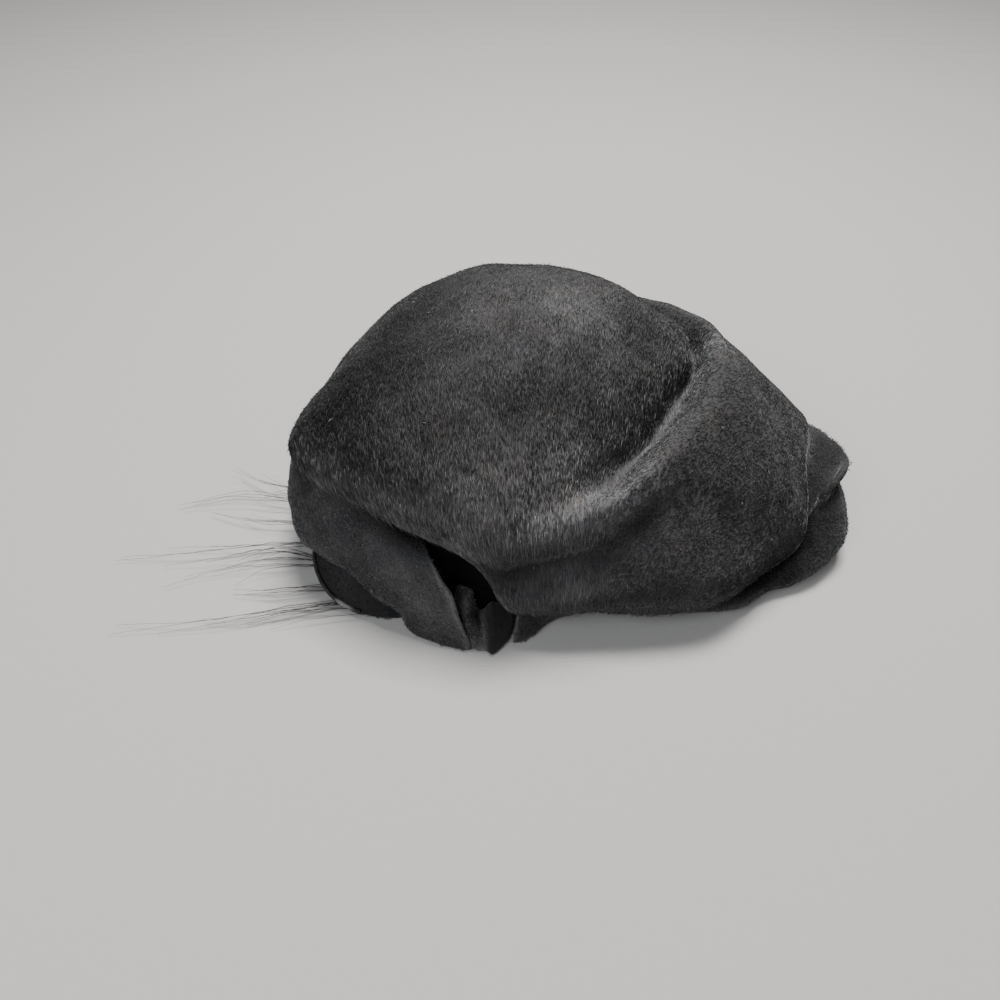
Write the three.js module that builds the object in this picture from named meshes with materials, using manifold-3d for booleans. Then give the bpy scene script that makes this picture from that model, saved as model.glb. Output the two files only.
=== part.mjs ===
// A black fur-felt hat for a woman, draped by hand and set down on its rim.
//
// One sheet of felt makes the domed crown and the wing that sweeps round its right side in a rolled
// ridge. A second strip makes the rolled brim below it, from a turned-out end at the front, round the
// right and the back, to a slanting cut end at the front left. A folded tuck closes the slit between
// the two ends, a band inside fits the head, and a spray of fine quills leaves the left side.
//
// Millimetres, +Z up. Azimuth is measured round the head: 0 right, 90 back, 180 left, 270 front.

import * as THREE from "three";
import { mergeVertices } from "three/addons/utils/BufferGeometryUtils.js";
import Module from "manifold-3d";

const wasm = await Module();
wasm.setup();
const { clamp, degToRad, lerp, radToDeg } = THREE.MathUtils;

// Driving dimensions.
const FELT = 2.4; // thickness of the felt wall
const SEAT_GAP = 1.3; // clearance where one layer of felt lies on another
const CROWN_TOP = 109; // height of the crown over the head's centre
const BAND_HEIGHT = 34; // height of the band that fits the head
const BAND_HEM = 7; // width of the band's turned-in hem, which stands on the surface
const ORIGIN = { x: -41.2, y: -3.7 }; // centre of the whole hat's box, measured from the head's centre

// The crown and wing, a row for each section. From the lower edge up, R is the distance from the
// head's centre and Z the height of: the rim, the lower roll, the valley above it, the wing's ridge,
// the crease behind the ridge, the crown's shoulder and its top.
const CROWN_SECTIONS = table(
  ["azimuth", "rimR", "rimZ", "rollR", "rollZ", "valleyR", "valleyZ", "browR", "browZ",
   "ridgeR", "ridgeZ", "creaseR", "creaseZ", "shoulderR", "shoulderZ", "topR", "topZ"],
  [
    [0, 121, 45.5, 109.5, 56, 92, 72, 79.5, 82.5, 67.5, 86, 57.5, 73, 50, 88, 29, 102],
    [20, 115, 26, 111, 41, 97, 57, 81.5, 76.5, 72.5, 84, 64, 72.5, 56, 87, 31, 102.5],
    [45, 107, 14, 109, 31, 99.5, 51, 88, 69.5, 79, 75, 70, 70.5, 60.5, 81.5, 35, 102],
    [70, 98, 12, 103, 28, 100, 46, 92, 62, 83.5, 71, 76, 73, 64, 86, 37, 103.5],
    [95, 93, 12, 96, 28, 95, 45, 91, 60, 85, 71.5, 76, 83, 62, 93.5, 40, 106],
    [120, 100, 20, 104, 32, 104, 48, 100, 63, 92, 77, 82, 88.5, 67, 97, 44, 106.5],
    [150, 111, 40, 112, 48, 110, 57, 105.5, 67, 98, 79.5, 87.5, 91, 72.5, 100.5, 48, 108],
    [165, 115.5, 50, 116.5, 56, 114, 63, 109, 71, 101.5, 80, 90, 91, 75.5, 100, 51, 107.5],
    [180, 119.5, 55, 121, 60, 117.5, 66.5, 111.5, 73.5, 104, 81, 93.5, 90, 79.5, 98.5, 54, 106.5],
    [197, 130, 56, 132, 61.5, 131.5, 68, 127, 75, 119, 82, 107, 90, 90, 97.5, 58, 106],
    [205, 126, 57, 128, 61.5, 128, 67.5, 124, 74, 117.5, 80.5, 107, 89, 91, 97, 58, 106],
    [214, 116, 57, 118, 61, 118, 66, 116, 71, 111, 77, 103, 86, 89, 95, 56, 105],
    [222, 108.5, 53.5, 111, 57, 112, 62, 111, 67, 107, 74, 100, 83, 86, 93, 53, 105],
    [230, 102, 49, 104.5, 53, 106, 58, 106, 64, 103, 71, 97, 80, 82, 91, 50, 104],
    [238, 96.5, 42, 98.5, 46, 100, 53, 101, 59, 99.5, 67, 94, 77, 79, 89, 47, 103],
    [245, 94.5, 33, 97, 38.5, 98.5, 47, 99, 55, 98, 63, 92, 74, 77, 86, 44, 102],
    [251, 96.5, 17, 99, 27, 95, 39.5, 97, 50, 96, 59, 89, 71, 73, 85, 41, 102],
    [256, 95.5, 13.5, 99, 25, 88.5, 38.5, 92.5, 50, 91.5, 60, 84, 69, 69, 83, 39, 102],
    [264, 94, 13.5, 98, 26, 84.5, 41.5, 88, 52.5, 85, 62, 76, 67.5, 63, 81, 36, 101],
    [275, 92.5, 14, 97, 28, 83, 46, 84.5, 57.5, 79.5, 67.5, 66.5, 65.5, 56, 79, 33, 101],
    [290, 100, 14, 101, 30, 79, 56, 77.5, 66.5, 71.5, 73.5, 57.5, 66, 49.5, 79, 30, 101],
    [305, 109, 14.5, 109.5, 30, 86, 57, 75.5, 71.5, 66.5, 78, 52.5, 67.5, 44.5, 82.5, 28, 101],
    [320, 113.5, 15.5, 113, 29, 98.5, 52, 75.5, 77, 64, 81.5, 50, 69, 42.5, 84.5, 27, 101],
    [331, 122.5, 24, 115, 40, 101, 57, 75, 79.5, 63.5, 83.5, 50, 70, 43, 86, 27, 101],
    [338, 119.5, 35, 111, 47, 97, 63, 75, 81, 64, 85, 50.5, 71, 44, 87, 27, 102],
    [345, 114.5, 46, 106, 56, 92, 69, 76, 82.5, 65, 86, 52, 72, 45.5, 87.5, 28, 102],
    [352, 116, 49, 106, 58, 90.5, 71, 77.5, 83, 66.5, 86.5, 54.5, 73, 47.5, 88, 28, 102],
  ],
);
const SECTION_HEIGHTS = [
  { name: "rim", steps: 2 },
  { name: "roll", steps: 2 },
  { name: "valley", steps: 3 },
  { name: "brow", steps: 2 },
  { name: "ridge", steps: 3 },
  { name: "crease", steps: 2 },
  { name: "shoulder", steps: 3 },
  { name: "top", steps: 3 },
];

// Soft dents of the crown, a row for each: its two ends, its half-width and its depth.
const DENTS = table(
  ["fromX", "fromY", "toX", "toY", "width", "depth"],
  [
    [-38, -66, 34, -4, 11, 3],
    [12, -62, 38, -34, 6, 2],
  ],
);

// The rolled brim, from its turned-out end at the front (255) to its cut end at the front left (606).
// Its hidden edge lies inside the crown's rim. Below the rim it turns in by the groove's depth, and
// then come its upper lobe, the notch between the lobes, its lower lobe and its hem.
const BRIM_SECTIONS = table(
  ["azimuth", "groove", "upperR", "upperZ", "notchR", "notchZ", "lowerR", "lowerZ", "hemR", "hemZ"],
  [
    [254, 0, 98, 9.5, 100.5, 6.5, 102.5, 3.5, 103, 1.2],
    [257, 0, 96, 9.5, 98.5, 6.5, 100.5, 3.5, 101, 1.2],
    [260, 0, 92, 9.5, 93.5, 7, 94.5, 4, 94.5, 1.2],
    [264, 0, 89, 10, 89, 7.5, 89, 4.5, 88, 1.2],
    [272, 0, 86, 10.5, 85.5, 8, 85, 5, 84, 1.2],
    [290, 0, 91, 10, 89, 8, 88, 5, 85, 1.2],
    [300, 0, 100, 10, 99, 8, 99, 5, 96, 1.2],
    [310, 0, 109, 11, 110, 9, 110, 6, 106, 1.2],
    [320, 0, 115, 11.5, 117.5, 10, 118, 6, 114, 1.2],
    [331, 1, 122, 20, 128, 17, 134.5, 10, 130, 1.2],
    [338, 8, 123, 31, 128, 26, 141, 13, 135, 1.2],
    [345, 12.5, 132, 41, 131, 31, 141, 16, 134, 1.2],
    [352, 8.5, 138, 38, 132, 29, 141, 17, 134, 1.2],
    [360, 2, 131.5, 37.5, 129, 28, 137.5, 16, 131, 1.2],
    [370, -2, 122, 30.5, 122, 23, 130, 13, 125, 1.2],
    [380, -1, 118, 21, 119, 16, 123, 9, 118, 1.2],
    [405, 0, 109, 9.5, 111, 7.5, 112, 4.5, 108, 1.2],
    [430, 0, 99, 8.5, 100, 7, 100, 4.5, 97, 1.2],
    [455, 0, 94, 8.5, 95, 7, 95, 4.5, 92, 1.2],
    [480, 0, 103, 15, 105, 11, 106, 7, 103, 1.5],
    [510, 0, 116, 33, 118, 24, 117, 14, 113, 5],
    [525, 0, 122, 43, 126, 31, 125, 19, 121, 9],
    [540, -1, 127, 48, 131, 36, 129, 23, 125, 12],
    [557, -2, 134, 49, 138, 37, 137, 26, 134, 18],
    [565, 0, 130.5, 47.5, 137.5, 36, 138.5, 25, 134.5, 18],
    [570, 3, 121, 47, 133, 36.5, 134.5, 25, 131, 18],
    [574, 5.5, 114, 45.5, 127.5, 35.5, 130.5, 24.5, 127.5, 17],
    [582, 7, 107, 43, 118.5, 32.5, 123.5, 21.5, 121.5, 13],
    [588, 7, 106, 41.5, 114, 30, 119.5, 16.5, 118, 5.5],
    [592, 7, 105.5, 40, 112.5, 28, 118, 13.5, 119.5, 1.5],
    [599, 7, 105, 37.5, 109.5, 24.5, 115.5, 10.5, 118, 1.2],
    [607, 6, 104, 34, 108, 19, 112.5, 8, 114, 1.2],
  ],
);
const BRIM_HEIGHTS = ["upper", "notch", "lower", "hem"];
const BRIM_START = 254.6;
const BRIM_END = { top: 560, hem: 606 }; // the cut end curves up and back from the hem

// The band inside that fits the head: its foot, its waist and its upper edge.
const BAND_SECTIONS = table(
  ["azimuth", "footR", "waistR", "topR"],
  [
    [0, 106, 107, 106],
    [20, 104, 106, 106],
    [45, 98, 99.5, 103],
    [70, 90, 90.8, 96.5],
    [95, 86, 86, 90.5],
    [120, 91.5, 91, 93.5],
    [135, 95, 94.5, 95],
    [150, 101, 101, 101],
    [180, 117, 111, 105],
    [197, 131, 116, 107],
    [207, 135.5, 118, 108],
    [216, 133.5, 116, 104],
    [224, 124.5, 108, 97.5],
    [231, 110.5, 101, 92],
    [238, 101, 92.5, 87],
    [247, 92, 86, 84],
    [256, 84, 82.5, 82],
    [272, 80, 82.5, 84],
    [290, 81.5, 85.5, 86],
    [305, 92, 94, 95],
    [320, 103, 103, 102],
    [340, 108, 108, 106],
  ],
);
const BAND_WAIST = 18; // height of the band's waist

// The tuck's rows, from its root behind the slit down to the surface: the azimuth and the height of
// each side, the radius at the left, the middle and the right, and the depth of its two pleats and
// of the dip between them.
const TUCK_ROWS = table(
  ["leftAt", "rightAt", "leftZ", "rightZ", "leftR", "middleR", "rightR", "pleat", "dip"],
  [
    [237.5, 249.5, 18, 9.5, 96, 92, 90.8, 0.5, 7],
    [237.8, 251, 17, 9.5, 99.5, 96, 92, 1.5, 7],
    [239, 253.3, 13, 7.5, 103, 101, 94.5, 3.5, 5],
    [241.9, 253.6, 6.5, 4.5, 106, 107, 98.5, 3.5, 1.5],
    [244.2, 253.6, 2.2, 2.2, 108, 111, 103, 2.4, 0],
  ],
);

// The quill of the spray lies along the foot of the band, under the brim's left side.
const QUILL = { from: 186, to: 221, height: 3, offBand: 0.3, thick: 1.2, thin: 0.6 };

// The spray's locks, a row for each: the azimuth of its root on the quill, its heading, its length,
// its sideways bend, its rise over the surface and the height of its tip.
const QUILL_LOCKS = table(
  ["rootAt", "heading", "length", "bend", "rise", "tip"],
  [
    [187, 158, 62, 5, 5, 4],
    [189, 178, 79, -6, 3, 2],
    [194, 171, 58, 4, 4, 3],
    [199, 186, 97, 3, 3, 1.6],
    [203, 180, 46, -3, 3, 2],
    [205, 190, 72, -3, 2, 1.6],
    [211, 182, 44, 2, 2, 2],
    [216, 189.5, 103, 3, 2, 1.6],
    [219, 190, 52, -2, 1, 1.4],
  ],
);
const LOCK_RADIUS = { root: 0.9, tip: 0.3 };

// How finely the sheets are divided.
const CROWN_STEPS = 72;
const BRIM_STEPS = { around: 66, down: 12 };
const BAND_STEPS = 48;
const TUCK_STEPS = { across: 12, down: 8 };
const LOCK_STEPS = { along: 8, sides: 4 };

// Names the columns of a short table.
function table(names, rows) {
  return rows.map((row) => Object.fromEntries(names.map((name, i) => [name, row[i]])));
}

// Every column of a table at any azimuth, by a cubic through its rows. A closed table goes round.
function sectionAt(rows, azimuth, closed = true) {
  const count = rows.length;
  const turn = closed ? 360 : 0;
  const row = (k) => rows[closed ? (k + count) % count : clamp(k, 0, count - 1)];
  const at = (k) => row(k).azimuth + (closed ? turn * Math.floor(k / count) : 0);
  const where = closed ? ((azimuth % 360) + 360) % 360 : azimuth;
  let k = rows.findLastIndex((r) => r.azimuth <= where + 1e-9);
  if (!closed) k = clamp(k, 0, count - 2);
  const span = at(k + 1) - at(k);
  const t = (where - at(k)) / span;
  const slope = (name, j) => {
    const run = at(j + 1) - at(j - 1);
    return run > 0 ? (row(j + 1)[name] - row(j - 1)[name]) / run : 0;
  };
  const section = {};
  for (const name of Object.keys(rows[0])) {
    const [a, b] = [row(k)[name], row(k + 1)[name]];
    const [sa, sb] = [slope(name, k) * span, slope(name, k + 1) * span];
    section[name] = a * (1 + 2 * t) * (1 - t) ** 2 + b * t * t * (3 - 2 * t)
      + sa * t * (1 - t) ** 2 - sb * t * t * (1 - t);
  }
  return section;
}

// A point of the half-plane at an azimuth.
function around(azimuth, radius, height) {
  const turn = degToRad(azimuth);
  return new THREE.Vector3(radius * Math.cos(turn), radius * Math.sin(turn), height);
}

// A smooth line through points of one half-plane, each given as [radius, height].
function profile(points) {
  const line = points.map(([r, z]) => new THREE.Vector3(r, 0, z));
  return new THREE.CatmullRomCurve3(line, false, "centripetal");
}

// The crown's outer profile at an azimuth, from its rim over the top and on to the far side's top.
function crownProfile(azimuth) {
  const near = sectionAt(CROWN_SECTIONS, azimuth);
  const far = sectionAt(CROWN_SECTIONS, azimuth + 180);
  const points = SECTION_HEIGHTS.map(({ name }) => [near[name + "R"], near[name + "Z"]]);
  return profile([...points, [0, CROWN_TOP], [-far.topR, far.topZ]]);
}

// A point of the crown, pressed down where it lies in a dent.
function dented(point) {
  const depth = DENTS.reduce((sum, { fromX, fromY, toX, toY, width, depth }) => {
    const flat = new THREE.Vector3(point.x, point.y, 0);
    const nearest = new THREE.Line3(new THREE.Vector3(fromX, fromY, 0), new THREE.Vector3(toX, toY, 0))
      .closestPointToPoint(flat, true, new THREE.Vector3());
    return sum + depth * Math.exp(-((nearest.distanceTo(flat) / width) ** 2));
  }, 0);
  return point.setZ(point.z - depth);
}

// How far along the crown's profile a number of its points reaches, as a share.
function profileShare(points) {
  return points / (SECTION_HEIGHTS.length + 1);
}

// A point on the crown's outer face, a number of profile points up from the rim.
function onCrown(azimuth, points) {
  const { x, z } = crownProfile(azimuth).getPoint(profileShare(points));
  return around(azimuth, x, z);
}

// A point under the crown's wall, clear of it, and moved a little way down past the rim.
function underCrown(azimuth, points, pastRim = 0) {
  const up = onCrown(azimuth, points + 0.05).sub(onCrown(azimuth, points)).normalize();
  const across = onCrown(azimuth + 1, points).sub(onCrown(azimuth - 1, points));
  const inward = up.clone().cross(across).normalize();
  return onCrown(azimuth, points)
    .addScaledVector(inward, FELT + SEAT_GAP)
    .addScaledVector(up, -pastRim);
}

// A closed wall of felt on a grid of points, grid[i][j]. The wall thickens away from the side that
// the grid's right-handed normal faces. A closed grid joins its last column to its first, and a
// pole joins every column's last point.
function feltWall(grid, { closed = false, pole = false }) {
  const columns = grid.length;
  const rows = grid[0].length;
  const column = (i) => grid[closed ? (i + columns) % columns : clamp(i, 0, columns - 1)];
  const normalAt = (i, j) => {
    if (pole && j === rows - 1) return new THREE.Vector3(0, 0, 1);
    const across = new THREE.Vector3().subVectors(column(i + 1)[j], column(i - 1)[j]);
    const up = new THREE.Vector3().subVectors(
      grid[i][clamp(j + 1, 0, rows - 1)], grid[i][clamp(j - 1, 0, rows - 1)]);
    return across.cross(up).normalize();
  };
  const positions = [];
  const index = [];
  const layers = [0, FELT].map((depth) => grid.map((line, i) => line.map((point, j) => {
    if (pole && j === rows - 1 && i > 0) return -1;
    const moved = point.clone().addScaledVector(normalAt(i, j), -depth);
    positions.push(moved.x, moved.y, moved.z);
    return positions.length / 3 - 1;
  })));
  if (pole) layers.forEach((layer) => layer.forEach((line) => { line[rows - 1] = layer[0][rows - 1]; }));
  const quad = (a, b, c, d) => {
    if (a !== b && b !== c && a !== c) index.push(a, b, c);
    if (a !== c && c !== d && a !== d) index.push(a, c, d);
  };
  const [outer, inner] = layers;
  const spans = closed ? columns : columns - 1;
  for (let i = 0; i < spans; i++) {
    const next = (i + 1) % columns;
    for (let j = 0; j < rows - 1; j++) {
      quad(outer[i][j], outer[next][j], outer[next][j + 1], outer[i][j + 1]);
      quad(inner[i][j], inner[i][j + 1], inner[next][j + 1], inner[next][j]);
    }
    quad(outer[i][0], inner[i][0], inner[next][0], outer[next][0]);
    if (!pole) quad(outer[i][rows - 1], outer[next][rows - 1], inner[next][rows - 1], inner[i][rows - 1]);
  }
  if (!closed) {
    for (let j = 0; j < rows - 1; j++) {
      const last = columns - 1;
      quad(outer[0][j], outer[0][j + 1], inner[0][j + 1], inner[0][j]);
      quad(outer[last][j], inner[last][j], inner[last][j + 1], outer[last][j + 1]);
    }
  }
  return indexed(positions, index);
}

// A ring whose section, a closed outline of points, is given at each azimuth.
function ring(steps, sectionOutline) {
  const positions = [];
  const index = [];
  let corners = 0;
  for (let i = 0; i < steps; i++) {
    const azimuth = (360 * i) / steps;
    const outline = sectionOutline(azimuth);
    corners = outline.length;
    for (const [radius, height] of outline) positions.push(...around(azimuth, radius, height).toArray());
  }
  for (let i = 0; i < steps; i++) {
    const [a, b] = [i * corners, ((i + 1) % steps) * corners];
    for (let j = 0; j < corners; j++) {
      const k = (j + 1) % corners;
      index.push(a + j, b + j, b + k, a + j, b + k, a + k);
    }
  }
  return indexed(positions, index);
}

function indexed(positions, index) {
  const geometry = new THREE.BufferGeometry();
  geometry.setAttribute("position", new THREE.Float32BufferAttribute(positions, 3));
  geometry.setIndex(index);
  geometry.computeVertexNormals();
  return geometry;
}

// Azimuths set closer together at the front, where the folds are.
function crownAzimuths() {
  const crowding = 0.32;
  return Array.from({ length: CROWN_STEPS }, (_, i) => {
    const turn = (2 * Math.PI * i) / CROWN_STEPS;
    return radToDeg(turn + crowding * Math.cos(turn - 0.2));
  });
}

function crownGeometry() {
  const shares = SECTION_HEIGHTS.flatMap(({ steps }, k) =>
    Array.from({ length: steps }, (_, i) => profileShare(k + i / steps)));
  shares.push(profileShare(SECTION_HEIGHTS.length));
  const grid = crownAzimuths().map((azimuth) => {
    const line = crownProfile(azimuth);
    return shares.map((share) => line.getPoint(share)).map((p) => dented(around(azimuth, p.x, p.z)));
  });
  return feltWall(grid, { closed: true, pole: true });
}

// The rolled brim's outer line at an azimuth, from its edge inside the crown to its hem.
function brimLine(azimuth) {
  const s = sectionAt(BRIM_SECTIONS, azimuth, false);
  const below = BRIM_HEIGHTS.map((name) => around(azimuth, s[name + "R"], s[name + "Z"]));
  const seat = underCrown(azimuth, 0, 2);
  const across = around(azimuth + 90, 1, 0);
  const inward = across.cross(below[0].clone().sub(seat)).normalize();
  const groove = seat.clone().lerp(below[0], 0.5).addScaledVector(inward, s.groove);
  const points = [underCrown(azimuth, 0.6), seat, groove, ...below];
  return new THREE.CatmullRomCurve3(points, false, "centripetal");
}

function brimGeometry() {
  const { around: steps, down } = BRIM_STEPS;
  const grid = Array.from({ length: steps + 1 }, (_, i) =>
    Array.from({ length: down + 1 }, (_, j) => {
      const end = lerp(BRIM_END.hem, BRIM_END.top, (j / down) ** 2);
      return brimLine(lerp(BRIM_START, end, i / steps)).getPoint(1 - j / down);
    }));
  return feltWall(grid, {});
}

function bandGeometry() {
  return ring(BAND_STEPS, (azimuth) => {
    const s = sectionAt(BAND_SECTIONS, azimuth);
    return [
      [s.footR - BAND_HEM, 0],
      [s.footR, 0],
      [s.waistR, BAND_WAIST],
      [s.topR, BAND_HEIGHT],
      [s.topR - FELT, BAND_HEIGHT],
      [s.waistR - FELT, BAND_WAIST],
      [s.footR - FELT - 1, FELT],
      [s.footR - BAND_HEM, FELT],
    ];
  });
}

// The tuck is a short tongue of felt with two pleats across its width and a dip between them.
function tuckGeometry() {
  const { across, down } = TUCK_STEPS;
  const value = (name, share) => {
    const line = new THREE.SplineCurve(TUCK_ROWS.map((row) => new THREE.Vector2(row[name], 0)));
    return line.getPoint(share).x;
  };
  const grid = Array.from({ length: across + 1 }, (_, i) =>
    Array.from({ length: down + 1 }, (_, j) => {
      const share = 1 - j / down;
      const side = (2 * i) / across - 1;
      const edge = value(side < 0 ? "leftR" : "rightR", share);
      const radius = lerp(value("middleR", share), edge, side * side);
      const pleat = value("pleat", share) * 0.5 * (1 - Math.cos(2 * Math.PI * side));
      const azimuth = lerp(value("leftAt", share), value("rightAt", share), i / across);
      const height = lerp(value("leftZ", share), value("rightZ", share), i / across);
      const dip = value("dip", share) * Math.max(0, Math.cos(Math.PI * side));
      return around(azimuth, radius + pleat + dip / 2, height - dip);
    }));
  return feltWall(grid, {});
}

// A closed tapering strand along a curve.
function strand(curve, radiusAtRoot, radiusAtTip, { along, sides }) {
  const frames = curve.computeFrenetFrames(along, false);
  const positions = [];
  const index = [];
  for (let i = 0; i <= along; i++) {
    const centre = curve.getPointAt(i / along);
    const radius = lerp(radiusAtRoot, radiusAtTip, i / along);
    for (let j = 0; j < sides; j++) {
      const turn = (2 * Math.PI * j) / sides;
      const point = centre.clone()
        .addScaledVector(frames.normals[i], radius * Math.cos(turn))
        .addScaledVector(frames.binormals[i], radius * Math.sin(turn));
      positions.push(point.x, point.y, point.z);
    }
  }
  for (let i = 0; i < along; i++) {
    for (let j = 0; j < sides; j++) {
      const k = (j + 1) % sides;
      const [a, b] = [i * sides, (i + 1) * sides];
      index.push(a + j, a + k, b + k, a + j, b + k, b + j);
    }
  }
  const last = along * sides;
  for (let j = 1; j < sides - 1; j++) {
    index.push(0, j + 1, j);
    index.push(last, last + j, last + j + 1);
  }
  return indexed(positions, index);
}

function solid(geometry) {
  const bare = geometry.clone();
  bare.deleteAttribute("normal");
  bare.deleteAttribute("uv");
  const merged = mergeVertices(bare, 1e-4);
  return new wasm.Manifold(new wasm.Mesh({
    numProp: 3,
    vertProperties: merged.attributes.position.array,
    triVerts: new Uint32Array(merged.index.array),
  }));
}

function geometryOf(manifold) {
  const mesh = manifold.getMesh();
  return indexed(Array.from(mesh.vertProperties), Array.from(mesh.triVerts));
}

// A point on the quill.
function onQuill(azimuth) {
  const { footR } = sectionAt(BAND_SECTIONS, azimuth);
  return around(azimuth, footR + QUILL.offBand, QUILL.height);
}

// The spray's locks, joined to their quill.
function sprayGeometry() {
  const stops = Array.from({ length: 8 }, (_, i) => lerp(QUILL.from, QUILL.to, i / 7));
  const spine = new THREE.CatmullRomCurve3(stops.map(onQuill));
  const quill = solid(strand(spine, QUILL.thin, QUILL.thick, { along: 14, sides: 6 }));
  const locks = QUILL_LOCKS.map(({ rootAt, heading, length, bend, rise, tip }) => {
    const root = onQuill(rootAt);
    const point = (share, side, height) => root.clone()
      .add(around(heading, share * length, 0))
      .add(around(heading + 90, side, 0))
      .setZ(height);
    const curve = new THREE.CatmullRomCurve3([
      root,
      point(0.3, bend * 0.6, QUILL.height + rise * 0.8),
      point(0.65, bend, QUILL.height + rise * 0.6),
      point(1, 0, tip),
    ]);
    return solid(strand(curve, LOCK_RADIUS.root, LOCK_RADIUS.tip, LOCK_STEPS));
  });
  return geometryOf(locks.reduce((whole, lock) => whole.add(lock), quill));
}

const BLACK_FELT = new THREE.MeshStandardMaterial({ color: 0x222224, roughness: 0.95, metalness: 0 });
const INNER_FELT = new THREE.MeshStandardMaterial({ color: 0x1b1b1d, roughness: 0.98, metalness: 0 });
const QUILL_BLACK = new THREE.MeshStandardMaterial({ color: 0x2b2a2c, roughness: 0.55, metalness: 0 });

function piece(name, geometry, material) {
  const mesh = new THREE.Mesh(geometry, material);
  mesh.name = name;
  return mesh;
}

const hat = new THREE.Group();
hat.add(
  piece("crown", crownGeometry(), BLACK_FELT),
  piece("rolled_brim", brimGeometry(), BLACK_FELT),
  piece("head_band", bandGeometry(), INNER_FELT),
  piece("front_tuck", tuckGeometry(), BLACK_FELT),
  piece("quill_spray", sprayGeometry(), QUILL_BLACK),
);
hat.position.set(-ORIGIN.x, -ORIGIN.y, 0);

export default hat;
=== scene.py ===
import math

import bpy
import mathutils
import numpy as np
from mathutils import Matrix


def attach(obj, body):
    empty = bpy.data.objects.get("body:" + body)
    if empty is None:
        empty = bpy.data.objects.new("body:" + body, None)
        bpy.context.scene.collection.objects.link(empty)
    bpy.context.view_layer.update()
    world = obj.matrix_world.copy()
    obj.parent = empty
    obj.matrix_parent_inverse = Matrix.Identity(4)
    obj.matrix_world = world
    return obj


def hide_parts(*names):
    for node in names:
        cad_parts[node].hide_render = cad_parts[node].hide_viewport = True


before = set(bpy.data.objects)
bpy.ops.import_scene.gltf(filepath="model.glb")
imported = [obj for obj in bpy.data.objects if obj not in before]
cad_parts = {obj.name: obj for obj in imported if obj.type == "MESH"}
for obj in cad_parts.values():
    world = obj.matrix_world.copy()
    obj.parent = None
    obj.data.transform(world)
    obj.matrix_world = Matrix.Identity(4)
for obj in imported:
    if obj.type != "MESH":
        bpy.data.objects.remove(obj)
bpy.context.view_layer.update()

bl_info = {
    "name": "Draped Felt Hat",
    "version": (1, 0, 0),
    "blender": (4, 5, 0),
    "location": "3D View > Sidebar > Felt Hat",
    "description": "Makes a black draped felt hat with its nap, its spray of barbs and a studio",
    "category": "Add Mesh",
}

# Lengths below are millimetres and azimuths are degrees round the head: 0 right, 90 back, 180 left,
# 270 front. Blender's own units are metres.
MM = 0.001
HEAD_CENTRE = np.array([41.2, 3.7, 0.0])
CROWN_TOP = 109.0
FELT = 2.4
SEAT_GAP = 1.3
BAND_HEIGHT = 34.0
BAND_WAIST = 18.0
BAND_HEM = 7.0

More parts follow.
